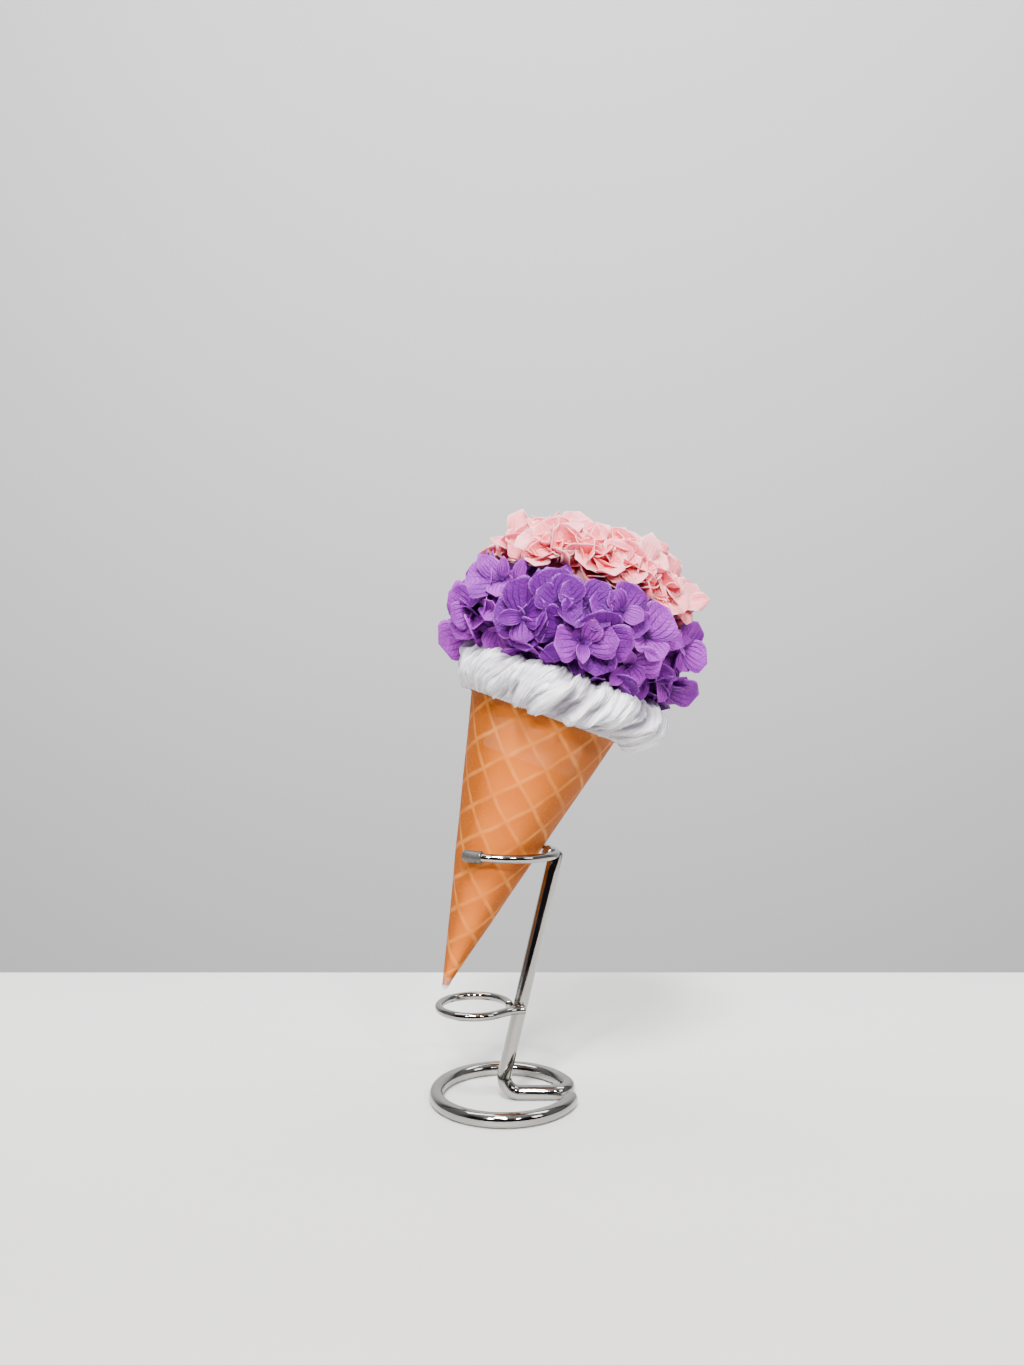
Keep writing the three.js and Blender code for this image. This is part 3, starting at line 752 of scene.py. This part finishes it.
def waffle_cone(finish):
    """Card wound once round, so that its outer edge laps over its start in a step at the back."""
    steps, dent_depth, dent_length = 168, 0.25, 26
    start = pi / 2 + 0.06
    verts, spots, rows = [], [], []
    for r, z in cone_profile():
        rows.append(len(verts))
        for i in range(steps + 1):
            share = i / steps
            angle = start - 2 * pi * share
            lap = LAP * (share - 1) * min(1, r / 6)
            dent = dent_depth * noise.noise(polar(1, angle, z / dent_length)) * min(1, r / 9)
            verts.append(polar(max(r + lap + dent, 0.01), angle, z))
            spots.append(sheet_place(angle, z))
    faces = []
    for low, high in zip(rows, rows[1:]):
        faces += strip(low, high, steps)
        faces.append((low + steps, high + steps, high, low))
    tip = len(verts)
    verts.append((0, 0, cone_profile()[0][1] - 0.01))
    spots.append(sheet_place(-pi / 2, 5))
    faces += [(tip, rows[0] + i, rows[0] + i + 1) for i in range(steps)]
    faces.append((tip, rows[0] + steps, rows[0]))
    return new_object("waffle_cone", placed(verts, BOUQUET), faces, finish, ("sheet", spots))


def blank_film(finish):
    """The clear label with nothing on it: a thin patch with rounded corners that hugs the cone."""
    across, up = 40, 16
    corner, gap, thick = 2.2, GAP * 0.45, 0.18
    mid = (LABEL_LOW + LABEL_HIGH) / 2
    half_width = LABEL_ARC / 2 * mid * SLOPE
    half_height = (LABEL_HIGH - LABEL_LOW) / 2
    verts = []
    for lift in (gap, gap + thick):
        for j in range(up + 1):
            for i in range(across + 1):
                x = half_width * (2 * i / across - 1)
                y = half_height * (2 * j / up - 1)
                over_x = max(abs(x) - half_width + corner, 0)
                over_y = max(abs(y) - half_height + corner, 0)
                reach = hypot(over_x, over_y)
                if over_x > 0 and over_y > 0 and reach > 1e-6:
                    pull = max(over_x, over_y) / reach
                    x -= copysign(over_x * (1 - pull), x)
                    y -= copysign(over_y * (1 - pull), y)
                z = mid + y * cos(HALF_ANGLE)
                angle = LABEL_MIDDLE + x / (mid * SLOPE) * mid / z
                r = z * SLOPE + lift + 0.25 * noise.noise(Vector((x / 9, y / 9, 3)))
                verts.append(polar(r, angle, z))
    row = across + 1
    layer = row * (up + 1)
    faces = []
    for a in (j * row + i for j in range(up) for i in range(across)):
        quad = (a, a + 1, a + row + 1, a + row)
        faces += [tuple(layer + k for k in quad), tuple(reversed(quad))]
    border = [*range(row), *range(row + across, layer, row)]
    border += [*reversed(range(up * row, up * row + across)), *reversed(range(row, up * row, row))]
    for a, b in zip(border, border[1:] + border[:1]):
        faces.append((a, b, layer + b, layer + a))
    return new_object("blank_film", placed(verts, BOUQUET), faces, finish)


def tip_wrap(finish):
    """A twist of clear film that guards the cone's tip."""
    low = TIP_ROUND / sin(HALF_ANGLE) - TIP_ROUND
    profile = [(0, low - 0.9), (0.6, low - 0.8), (1.05, low - 0.4), (1.6, low + 0.5)]
    profile += [(z * SLOPE + 0.2, z) for z in (low + 2.5, low + 4.0, low + 5.5)]
    profile += [(z * SLOPE + 0.08, z) for z in (low + 5.55, low + 4.0, low + 2.5)]
    profile += [(0, low + 1.2)]
    verts, faces = turned(profile, 40)
    for v in verts:
        if hypot(v.x, v.y) > 0.3:
            fold = 1 + 0.06 * noise.noise(Vector((v.x * 1.1, v.y * 1.1, v.z * 0.4)))
            v.x *= fold
            v.y *= fold
    return new_object("tip_wrap", placed(verts, BOUQUET), faces, finish)


# The gathered tissue


def ridge(x):
    """Sharp valleys between round puffs, from 0 to 1."""
    return abs(sin(x)) ** 0.8


def frill_outline(share):
    """Radius and height along the tissue, from under the florets down to where it is tied."""
    stations = [
        (0.00, NECK_RADIUS + 6, FRILL_TOP + 0.4),
        (0.16, 36.0, FRILL_TOP + 0.2),
        (0.32, 42.5, FRILL_TOP - 1.2),
        (0.46, 46.0, FRILL_TOP - 5.5),
        (0.60, 46.8, FRILL_TOP - 11.0),
        (0.74, 45.0, FRILL_TOP - 16.4),
        (0.86, 41.2, FRILL_TOP - 20.0),
        (1.00, 36.1, FRILL_TOP - 20.6),
    ]
    for (s0, r0, z0), (s1, r1, z1) in zip(stations, stations[1:]):
        if share <= s1 + 1e-9:
            k = (share - s0) / (s1 - s0)
            return r0 + (r1 - r0) * k, z0 + (z1 - z0) * k
    return stations[-1][1:]


# The tissue's creases: how close they lie, and how high they are
CREASES = ((3.4, 1.5), (8, 1.05), (19, 0.55))
# The folds' height in mm, how much they slant from top to bottom, and how much they wander
FOLD_HEIGHT = 1.3
FOLD_SLANT = 0.44
FOLD_WANDER = 0.26
# How many puffs there are round the ring, and the mesh that holds them
FRILL_LOBES = 19
FRILL_COLUMNS = 760
FRILL_ROWS = 44
FRILL_SEED = 3
# In mm, how far the roll hangs down under its puffs, and how far it is lifted all round and more
# at the sides
HANG = 2.2
LIFT = 1.5
SIDE_LIFT = 0.9


def tissue_frill(finish):
    """The tissue: a ring of slanted puffs and creases laid on the frill's outline."""
    columns, rows, seed = FRILL_COLUMNS, FRILL_ROWS, FRILL_SEED
    verts, spots, valleys = [], [], []
    for j in range(rows + 1):
        share = j / rows
        r0, z0 = frill_outline(share)
        r_in, z_in = frill_outline(max(share - 0.03, 0))
        r_out, z_out = frill_outline(min(share + 0.03, 1))
        along = Vector((r_out - r_in, z_out - z_in)).normalized()
        normal = Vector((-along.y, along.x))
        loose = sin(pi * min(max((share - 0.02) / 0.98, 0), 1)) ** 0.7
        for i in range(columns):
            angle = 2 * pi * i / columns
            ring = polar(1, angle, 0) * 1.3
            drift = noise.noise(ring * 1.6 + Vector((seed, 0, 0.8 * share)))
            lean = angle + FOLD_SLANT * (share - 0.5) + FOLD_WANDER * drift
            puff = ridge(FRILL_LOBES / 2 * lean)
            turn = polar(1, lean, 0)
            crease = 0.0
            for octave, (count, height) in enumerate(CREASES):
                spot = turn * count + Vector((seed, octave * 5.1, 1.5 * share * (1 + 0.4 * octave)))
                crease += height * (1 - 3.2 * abs(noise.noise(spot)))
            fold = FOLD_HEIGHT * puff + 0.2 + FOLD_HEIGHT * crease
            under = smooth(0.5, 0.85, share) * (1 - smooth(0.93, 1.0, share))
            sag = FRILL_SIDEWAYS * cos(angle) * loose
            down = 0.45 * loose * fold if normal.y < 0 else loose * fold
            rise = (LIFT + SIDE_LIFT * abs(cos(angle))) * smooth(0.45, 0.8, share)
            r = r0 + loose * fold * normal.x + sag * (0.4 + 0.6 * smooth(0.2, 0.6, share))
            hang = under * (HANG * puff + HANG / 2 * crease - 1.2 + HANG * drift)
            z = z0 + down * normal.y - hang + rise * (1 - smooth(0.95, 1.0, share))
            verts.append(polar(r, angle, z))
            spots.append((lean / (2 * pi), share))
            # How deep in the folds each point lies, kept for the grey painted shade in the tissue's
            # folds
            valleys.append(min(max(0.62 - 0.30 * crease - 0.30 * (puff - 0.5), 0), 1))
    faces = []
    for low in range(0, rows * columns, columns):
        faces += strip(low, low + columns, columns, ring=True)
    obj = new_object("tissue_frill", placed(verts, BOUQUET), faces, finish, ("cloth", spots))
    obj.data.attributes.new("valley", "FLOAT", "POINT").data.foreach_set("value", valleys)
    thicken(obj, TISSUE)
    return obj


# The florets


def dome_half(along):
    """The dome's half height at that side of its widest place."""
    return DOME_TOP - DOME_MIDDLE if along > DOME_MIDDLE else DOME_BELOW


def dome_radius(along, shrink):
    k = (along - DOME_MIDDLE) / (dome_half(along) - shrink)
    return (DOME_RADIUS - shrink) * sqrt(max(0.0, 1 - k * k))


def floret_place(angle, along, pitch, turn, inset=FLORET_DEPTH):
    """The eye, and the turn that faces a floret out from the dome and up by its pitch."""
    r = dome_radius(along, inset)
    out = polar(r / DOME_RADIUS**2, angle, (along - DOME_MIDDLE) / dome_half(along) ** 2)
    out.normalize()
    side = Vector((-sin(angle), cos(angle), 0))
    out.rotate(Quaternion(side, radians(-pitch)))
    basis = Matrix((side, out.cross(side), out)).transposed()
    return polar(r, angle, along), basis @ Matrix.Rotation(radians(turn), 3, "Z")


def front_place(across, along, pitch, index, sepals):
    """A floret of the dome's front, turned partly to the front, with its own sepals."""
    share = across / dome_radius(along, FLORET_DEPTH)
    angle = -acos(max(-SIDE_LIMIT, min(SIDE_LIMIT, share)))
    eye, facing = floret_place(angle, along, pitch, 0)
    facing = Matrix.Rotation(-FACE_FRONT * (angle + pi / 2), 3, "Z") @ facing
    return eye, facing, index, FLORET, sepals


def purple_places():
    """Eye, facing, index, span, and the sepals or their extra tilt, of each purple floret."""
    places = []
    for i, (across, along, pitch, sepals) in enumerate(FRONT_FLORETS):
        places.append(front_place(across, along, pitch, i, sepals))
    for row, (along, count, pitch) in enumerate(BACK_ROWS):
        for i in range(count):
            k = row * 10 + i
            angle = pi * (i + 0.5 + 0.3 * draw(k, 3) + 0.25 * (row % 2)) / count
            tilted = pitch + 24 * draw(k, 5)
            at = floret_place(angle, along + 4 * draw(k, 4), tilted, TURN * draw(k, 6))
            places.append((*at, len(places), FLORET * (1 + 0.2 * draw(k, 7)), 0))
    for row, (along, count, inset) in enumerate(FILL_ROWS):
        for i in range(count):
            k = FILL_FROM + row * 20 + i
            angle = 2 * pi * (i + 0.5 * (row % 2) + 0.5 * draw(k, 3)) / count
            pitch = 40 * draw(k, 5)
            at = floret_place(angle, along + 5 * draw(k, 4), pitch, TURN * draw(k, 6), inset)
            places.append((*at, k, FILL_SPAN * (1 + 0.3 * draw(k, 7)), 0.3 * draw(k, 8)))
    return places


def pink_places():
    """The same of each pink floret: the CAD's, the standing ones, and smaller ones between."""
    places = []
    high = DOME_TOP - FLORET_DEPTH - 0.5
    for i in range(PINK_COUNT):
        along = PINK_LOW + (high - PINK_LOW) * (i + 0.5) / PINK_COUNT
        inset = FLORET_DEPTH + 3 * smooth(205, 216, along)
        angle = i * GOLDEN - pi / 2
        along -= inset - FLORET_DEPTH
        at = floret_place(angle, along, 30 * draw(i, 8), TURN * draw(i, 9), inset)
        places.append((*at, i + PINK_FROM, FLORET * (0.98 + 0.24 * draw(i, 2)), 0))
    for k, (across, along, sepals) in enumerate(STANDING_PINK):
        places.append(front_place(across, along, 0, STANDING_FROM + k, sepals))
    for i in range(PINK_FILL):
        along = PINK_FILL_LOW + (PINK_FILL_HIGH - PINK_FILL_LOW) * ((i + 0.5) / PINK_FILL)
        sunk = 1 - smooth(198, 204, along)
        k = PINK_FILL_FROM + i
        inset = 11.0 + 3 * draw(k, 4) + 2.5 * sunk
        at = floret_place(i * GOLDEN + 0.7, along, 50 * draw(k, 5), TURN * draw(k, 6), inset)
        tilt = 0.45 + 0.8 * draw(k, 8) + 0.35 * sunk
        places.append((*at, k, PINK_FILL_SPAN * (1 + 0.3 * draw(k, 7)), tilt))
    return places


def sepal_shape(name, index, crumple, narrow):
    """One sepal of unit length along X, facing +Z: narrow foot, broad cupped blade, soft point."""
    r = random.Random(index)
    rows, columns = 9, 6
    broad = r.uniform(0.24, 0.32) if narrow else r.uniform(0.50, 0.60)
    widest = r.uniform(0.65, 0.8)
    point = r.uniform(0.5, 0.62) if narrow else r.uniform(0.30, 0.44)
    peak = (widest / (widest + point)) ** widest * (point / (widest + point)) ** point
    cup = r.uniform(0.03, 0.12)
    curl = r.uniform(-0.12, 0.10)
    waves = r.uniform(1.2, 2.6)
    wave = r.uniform(0.012, 0.03) * (1 + 2 * crumple)
    phase = r.uniform(0, 6)
    lean = r.uniform(-0.12, 0.12)
    verts, spots = [(0, 0, 0)], [(0.5, 0)]
    for j in range(1, rows):
        s = j / rows
        half = broad * s**widest * (1 - s) ** point / peak
        for i in range(columns + 1):
            t = 2 * i / columns - 1
            x = s * (1 - 0.06 * abs(t) * s) - 0.03 * t * t
            y = half * t + lean * s * s
            z = cup * abs(half * t / broad) ** 1.7 + curl * s * s
            swing = sin(waves * pi * s + phase + 1.3 * copysign(1, t))
            z += wave * abs(t) ** 1.5 * swing
            z += crumple * 0.06 * noise.noise(Vector((3 * s, 3 * half * t, index)))
            verts.append((max(x, 0.02), y, z))
            spots.append((i / columns, s))
    verts.append((1, lean, curl))
    spots.append((0.5, 1))
    last = len(verts) - 1
    faces = [(0, 1 + i, 2 + i) for i in range(columns)]
    for j in range(rows - 2):
        a = 1 + j * (columns + 1)
        faces += strip(a, a + columns + 1, columns)
    top = 1 + (rows - 2) * (columns + 1)
    faces += [(top + i, last, top + i + 1) for i in range(columns)]
    return new_object(name, verts, faces, None, ("sepal", spots))


def eye_shape(name):
    """A floret's closed bud on a short stalk, of unit radius."""
    stalk = [(0, -5.5), (0.30, -5.4), (0.34, -2.6), (0.55, -0.6)]
    verts, faces = turned([*stalk, (0.95, 0.2), (0.8, 0.75), (0, 0.95)], 8)
    for v in verts:
        if v.z > 0:
            lobes = 1 + 0.16 * cos(4 * atan2(v.y, v.x))
            v.x *= lobes
            v.y *= lobes
    return new_object(name, verts, faces)


def scatter_tree():
    """Sets a kept shape on every point, turned and sized as the point says."""
    inputs = [
        ("Shapes", "Collection"), ("Size", "Float"), ("Uneven Size", "Float"), ("Seed", "Int"),
    ]
    t, ids, given, made = shape_tree("set florets", "Points", inputs, "Florets")
    shapes = t.make(
        "GeometryNodeCollectionInfo",
        Collection=given["Shapes"], Separate_Children=True, Reset_Children=True,
    )
    read = {}
    for name, kind in (("turn", "FLOAT_VECTOR"), ("reach", "FLOAT"), ("shape", "INT")):
        node = t.put(t.add("GeometryNodeInputNamedAttribute", data_type=kind), Name=name)
        read[name] = node.outputs[0]
    turn = t.make("FunctionNodeEulerToRotation", Euler=read["turn"])
    uneven = t.add("FunctionNodeRandomValue", data_type="FLOAT")
    t.feed(uneven, 2, t.times(given["Uneven Size"], -1.0))
    t.feed(uneven, 3, given["Uneven Size"])
    t.join(given["Seed"], uneven, "Seed")
    size = t.times(read["reach"], given["Size"])
    size = t.sum("MULTIPLY_ADD", size, uneven.outputs[1], size)
    spread = t.make(
        "GeometryNodeInstanceOnPoints",
        Points=given["Points"], Instance=shapes.outputs[0], Pick_Instance=True,
        Instance_Index=read["shape"], Rotation=turn.outputs[0], Scale=size,
    )
    end_tree(t, spread.outputs[0], given, made)
    return t.tree, ids


def scatter(name, points, shapes, finish, seed, tree_and_ids):
    """points holds place, turn, reach, shape number and a colour share that carries painted light
    and shade, in mm in the bouquet's own frame.
    """
    mesh = bpy.data.meshes.new(name + "_points")
    mesh.from_pydata([BOUQUET @ (p[0] / 1000) for p in points], [], [])
    facing = BOUQUET.to_3x3()
    turns = [(facing @ p[1]).to_euler("XYZ") for p in points]
    layers = (
        ("turn", "FLOAT_VECTOR", "vector", [c for e in turns for c in e]),
        ("reach", "FLOAT", "value", [p[2] / 1000 for p in points]),
        ("shape", "INT", "value", [p[3] for p in points]),
        ("tint", "FLOAT", "value", [p[4] for p in points]),
    )
    for label, kind, field, values in layers:
        mesh.attributes.new(label, kind, "POINT").data.foreach_set(field, values)
    obj = grown(
        name, mesh, tree_and_ids,
        Shapes=shapes, Size=1.0, Uneven_Size=UNEVEN, Seed=seed, Finish=finish,
    )
    shade(obj.data)
    return obj


def kept_shapes(name, shapes):
    """A collection of shapes that is not itself in the scene."""
    kept = bpy.data.collections.new(name)
    for shape in shapes:
        bpy.context.scene.collection.objects.unlink(shape)
        kept.objects.link(shape)
    return kept


def forget(kept):
    for shape in list(kept.objects):
        bpy.data.objects.remove(shape, do_unlink=True)
    bpy.data.collections.remove(kept)


def sepal_points(places, grow, paler):
    """Points for the scatter; sepals are drawn by chance unless the place lists its own. The third
    argument is how much paler, as painted light, florets are that face sideways."""
    points = []
    for eye, facing, index, span, held in places:
        sideways = abs((BOUQUET.to_3x3() @ facing @ Vector((0, 0, 1))).x)
        # Painted light: florets that face sideways get a paler colour, as if more light fell on them
        tone = 0.5 + 0.8 * draw(index, 50) + paler * (sideways - 0.35)
        purple_fill = FILL_FROM <= index < STANDING_FROM
        # Painted shade: the smaller florets between the others are darkened as if they lay in shade
        if purple_fill or index >= PINK_FILL_FROM:
            tone -= FILL_PAINTED_SHADE
        if isinstance(held, list):
            sepals = [(radians(a), b, radians(c), d) for a, b, c, d in held]
        else:
            sepals = []
            for k in range(4):
                way = k * pi / 2 + 0.25 * draw(index, k + 30)
                reach = grow * span / 2 * (1 + 0.2 * draw(index, k + 10))
                tilt = 0.30 + held + 0.5 * draw(index, k + 20)
                shape = int((draw(index, k + 40) + 0.5) * BROAD_SHAPES) % BROAD_SHAPES
                if purple_fill and draw(index, 45) > 0.3:
                    shape = BROAD_SHAPES + k % NARROW_SHAPES
                sepals.append((way, reach, tilt, shape))
        for k, (way, reach, tilt, shape) in enumerate(sepals):
            turn = facing @ Matrix.Rotation(way, 3, "Z") @ Matrix.Rotation(-tilt, 3, "Y")
            tint = min(max(tone + 0.35 * draw(index, k + 60), 0), 1)
            points.append((eye, turn, reach, shape, tint))
    return points


def packed_core(name, finish, low, high, inset, seed):
    """A lumpy closed body under the florets, between two heights of the dome."""
    steps, rows = 72, 30
    lump_height, lump_width = 1.6, 7
    profile = [(0, low)]
    for j in range(rows + 1):
        along = low + (high - low) * j / rows
        radius = dome_radius(max(along, FRILL_TOP + 2), inset)
        if along < FRILL_TOP + 1:
            radius = NECK_RADIUS
        profile.append((max(radius, 0.4), along))
    profile.append((0, high + 0.2))
    verts, faces = turned(profile, steps)
    for v in verts:
        if hypot(v.x, v.y) > 1:
            lump = lump_height * noise.noise(v / lump_width + Vector((seed, 0, 0)))
            v += Vector((v.x, v.y, 0)).normalized() * lump
    return new_object(name, placed(verts, BOUQUET), faces, finish)


# The petals' deep, light, throat, vein and rim colours, and how much the veins show
PETALS = {
    "purple": (
        (0.11, 0.0012, 0.19), (0.34, 0.030, 0.45), (0.02, 0.0005, 0.05),
        (0.03, 0.001, 0.09), (0.42, 0.11, 0.56), 0.9,
    ),
    "pink": (
        (1.0, 0.20, 0.24), (1.0, 0.38, 0.42), (1.0, 0.17, 0.21),
        (1.0, 0.20, 0.24), (1.0, 0.80, 0.78), 0.35,
    ),
}
# The deep and light colours of the imported hearts and of the buds in the florets' eyes; the purple
# heart is darker than its petals, as painted shade in the gaps between florets, and the pink heart
# lighter, as painted light there
HEARTS = {
    "purple_heart": ((0.07, 0.006, 0.15), (0.16, 0.02, 0.30)),
    "pink_heart": ((0.95, 0.36, 0.38), (1.0, 0.52, 0.53)),
    "purple_eye": ((0.02, 0.001, 0.05), (0.06, 0.004, 0.12)),
    "pink_eye": ((0.75, 0.12, 0.16), (0.95, 0.28, 0.32)),
}
BUD = 1.15


def sepal_shapes(label, first, crumple):
    """The kept sepals to pick from: the broad ones, then the narrow ones."""
    shapes = []
    for i in range(BROAD_SHAPES + NARROW_SHAPES):
        shapes.append(sepal_shape(f"{label}_{i:02d}", first + i, crumple, i >= BROAD_SHAPES))
    return kept_shapes(label, shapes)


def grow_florets(veins, grain):
    hearts = {name: packed_heart(name, grain, *look) for name, look in HEARTS.items()}
    tree = scatter_tree()
    smooth_sepals = sepal_shapes("smooth", 0, 0.35)
    ruffled = sepal_shapes("ruffled", 40, 1.5)
    buds = kept_shapes("buds", [eye_shape("bud")])
    made = {}
    # Seed, how much the sepals of chance grow, and how much paler florets that face sideways are
    # painted, as painted light
    for colour, places, shapes, seed, grow, paler in (
        ("purple", purple_places(), smooth_sepals, 3, 1.13, 1.1),
        ("pink", pink_places(), ruffled, 8, 1.06, 0),
    ):
        petal = preserved_petal(f"{colour}_petal", veins, grain, *PETALS[colour])
        points = sepal_points(places, grow, paler)
        sepals = scatter(f"{colour}_sepals", points, shapes, petal, seed, tree)
        thicken(sepals, SEPAL)
        points = [(place[0], place[1], BUD, 0, 0.5 + draw(place[2], 70)) for place in places]
        eyes = scatter(f"{colour}_eyes", points, buds, hearts[f"{colour}_eye"], seed + 1, tree)
        made[colour] = (sepals, eyes)
    for kept in (smooth_sepals, ruffled, buds):
        forget(kept)
    for name, low, high, inset, seed in (
        ("purple", CONE_HEIGHT + 0.5, TIER_OUTER - 6, 13.5, 2),
        ("pink", TIER_INNER + 4, DOME_TOP - 13, 13, 5),
    ):
        finish = hearts[f"{name}_heart"]
        made[f"{name}_core"] = packed_core(f"{name}_core", finish, low, high, inset, seed)
    return made


# The stage


def stage():
    side, front, back, thick = 1.1, -0.24, 0.21, 0.03
    corners = ((-side, front), (side, front), (side, back), (-side, back))
    table = new_object(
        "table_top",
        [(x, y, z) for z in (-thick, 0) for x, y in corners],
        [(0, 3, 2, 1), (4, 5, 6, 7), (0, 1, 5, 4), (1, 2, 6, 5), (2, 3, 7, 6), (3, 0, 4, 7)],
        stage_material("pale_table", (0.52, 0.512, 0.49), (0.73, 0.73, 0.715), 0.4),
    )
    edge = table.modifiers.new("eased edge", "BEVEL")
    edge.width = 0.006
    edge.segments = 4
    wall = new_object(
        "grey_wall",
        [(-4, 1.1, -1.5), (4, 1.1, -1.5), (4, 1.1, 3), (-4, 1.1, 3)],
        [(0, 1, 2, 3)],
        stage_material("grey_wall", (0.51, 0.51, 0.515), (0.54, 0.54, 0.54), 0.9),
    )
    for obj in (table, wall):
        shade(obj.data, smooth=False)
    world = bpy.data.worlds.new("soft_room")
    bpy.context.scene.world = world
    world.use_nodes = True
    t = Tree(world.node_tree)
    across, away, rise = t.split(t.add("ShaderNodeTexCoord").outputs["Generated"])
    flat = t.sum("SQRT", t.sum("SUBTRACT", 1.0001, t.times(rise, rise)))
    front = t.fall(t.sum("DIVIDE", away, flat), -0.66, -0.25)
    level = t.fall(rise, 0.58, 0.84)
    side = t.range(t.sum("ABSOLUTE", across), 0.25, 0.9)
    room = t.blend(side, (0.66, 0.66, 0.67), (0.30, 0.30, 0.305))
    dark = t.blend(t.times(front, level), room, (0.025, 0.02, 0.025))
    seen = t.add("ShaderNodeLightPath").outputs["Is Camera Ray"]
    colour = t.blend(seen, dark, (0.72, 0.72, 0.725))
    t.put(world.node_tree.nodes["Background"], Color=colour, Strength=0.95)


def soft_light(name, place, target, size, energy):
    lamp = bpy.data.lights.new(name, "AREA")
    lamp.shape = "RECTANGLE"
    lamp.size, lamp.size_y = size
    lamp.energy = energy
    obj = linked(name, lamp)
    obj.location = place
    way = Vector(target) - Vector(place)
    obj.rotation_euler = way.to_track_quat("-Z", "Y").to_euler()


def lights():
    middle = (0, 0, 0.13)
    soft_light("key", (-0.15, -0.95, 1.55), middle, (0.34, 0.34), 64)
    soft_light("fill", (1.2, -0.9, 0.9), middle, (0.4, 0.5), 5)
    soft_light("wall_wash", (0.2, 0.2, 1.9), (0.2, 1.1, 0.5), (2.6, 0.6), 48)
    for i, (x, y, z) in enumerate(((-0.42, -1.0, 0.80), (0.0, -1.1, 0.86), (0.42, -1.0, 0.80))):
        soft_light(f"lamp_{i}", (x, y, z), middle, (0.12, 0.07), 10)


def camera():
    focus, frame_height, nod = 1100, 1365, 0.76
    view = bpy.data.cameras.new("camera")
    view.sensor_fit = "VERTICAL"
    view.sensor_height = 36
    view.lens = 36 * focus / frame_height
    view.clip_start = 0.01
    obj = linked("camera", view)
    obj.location = (-0.02423, -0.50072, 0.196)
    obj.rotation_euler = (radians(90 - nod), 0, 0)
    bpy.context.scene.camera = obj


def main():
    camera()
    stage()
    lights()
    grain = fine_grain_group()
    veins = sepal_veins_group()
    chrome = grained(
        "plated_wire", grain, 0.0011, 0.014, "Drift",
        (0.28, 0.272, 0.255), (0.36, 0.352, 0.335), (0.35, 0.75, 0.045, 0.11),
        (0.00004, 0.35), Metallic=1.0,
    )
    weld = grained(
        "plated_weld", grain, 0.0012, 0.004, "Grain",
        (0.32, 0.31, 0.30), (0.50, 0.49, 0.48), (0.3, 0.7, 0.08, 0.24),
        (0.0002, 0.6), Metallic=1.0,
    )
    sleeve = grained(
        "matte_sleeve", grain, 0.0008, 0.004, "Drift",
        (0.075, 0.07, 0.065), (0.11, 0.105, 0.095), (0.3, 0.7, 0.26, 0.34),
        (0.00001, 0.2), Metallic=0.5,
    )
    wire_tree = drawn_wire_tree()

    rod, ring, clamp = (
        sweep_wire(name, rounded_ends(path, run), width / 2, chrome, wire_tree)
        for name, path, run, width in (
            ("bent_rod", rod_path(), 1.6, ROD),
            ("tip_ring_wire", tip_ring_path(), 0.5, WIRE),
            ("clamp_oval", clamp_path(), 0.3, WIRE),
        )
    )
    stem = stem_x(TIP_RING_Z)
    top = stem_x(CLAMP_Z)
    beads = [
        weld_bead("clamp_weld", (top - 3.3, -4.8, CLAMP_Z + 0.9), (3.0, 3.1, 2.9), 4, weld),
        weld_bead("ring_weld", (stem - 2.2, -3.1, TIP_RING_Z - 0.4), (2.3, 1.3, 2.0), 9, weld),
    ]
    caps = [
        end_cap(name, side, sleeve, wire_tree)
        for name, side in (("front_sleeve", -1), ("back_sleeve", 1))
    ]
    cone = waffle_cone(waffle_paper(grain))
    film = blank_film(clear_film("blank_film", grain, (0.86, 0.56, 0.36), (0.01, 0.03), 0.3))
    wrap = tip_wrap(
        clear_film("tip_wrap", grain, (0.88, 0.86, 0.84), (0.02, 0.06), 0.15, end=WRAP_END)
    )
    frill = tissue_frill(gathered_tissue(grain))
    florets = grow_florets(veins, grain)
    for slot, pieces in (
        ("plated_wire", (rod, ring, clamp, *beads)),
        ("end_cap", caps),
        ("waffle_paper", (cone,)),
        ("clear_label", (film, wrap)),
        ("gathered_tissue", (frill,)),
        ("purple_petals", (*florets["purple"], florets["purple_core"])),
        ("pink_petals", (*florets["pink"], florets["pink_core"])),
    ):
        for piece in pieces:
            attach(piece, "root")
    for piece, node in (
        (rod, "stand_rod"),
        (ring, "tip_ring"),
        (clamp, "clamp_wire"),
        (caps[0], "clamp_cap_front"),
        (caps[1], "clamp_cap_back"),
        (cone, "paper_cone"),
        (film, "blank_label"),
        (frill, "frill"),
        (florets["purple"][0], "purple_florets"),
        (florets["pink"][0], "pink_florets"),
    ):
        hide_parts(node)


main()
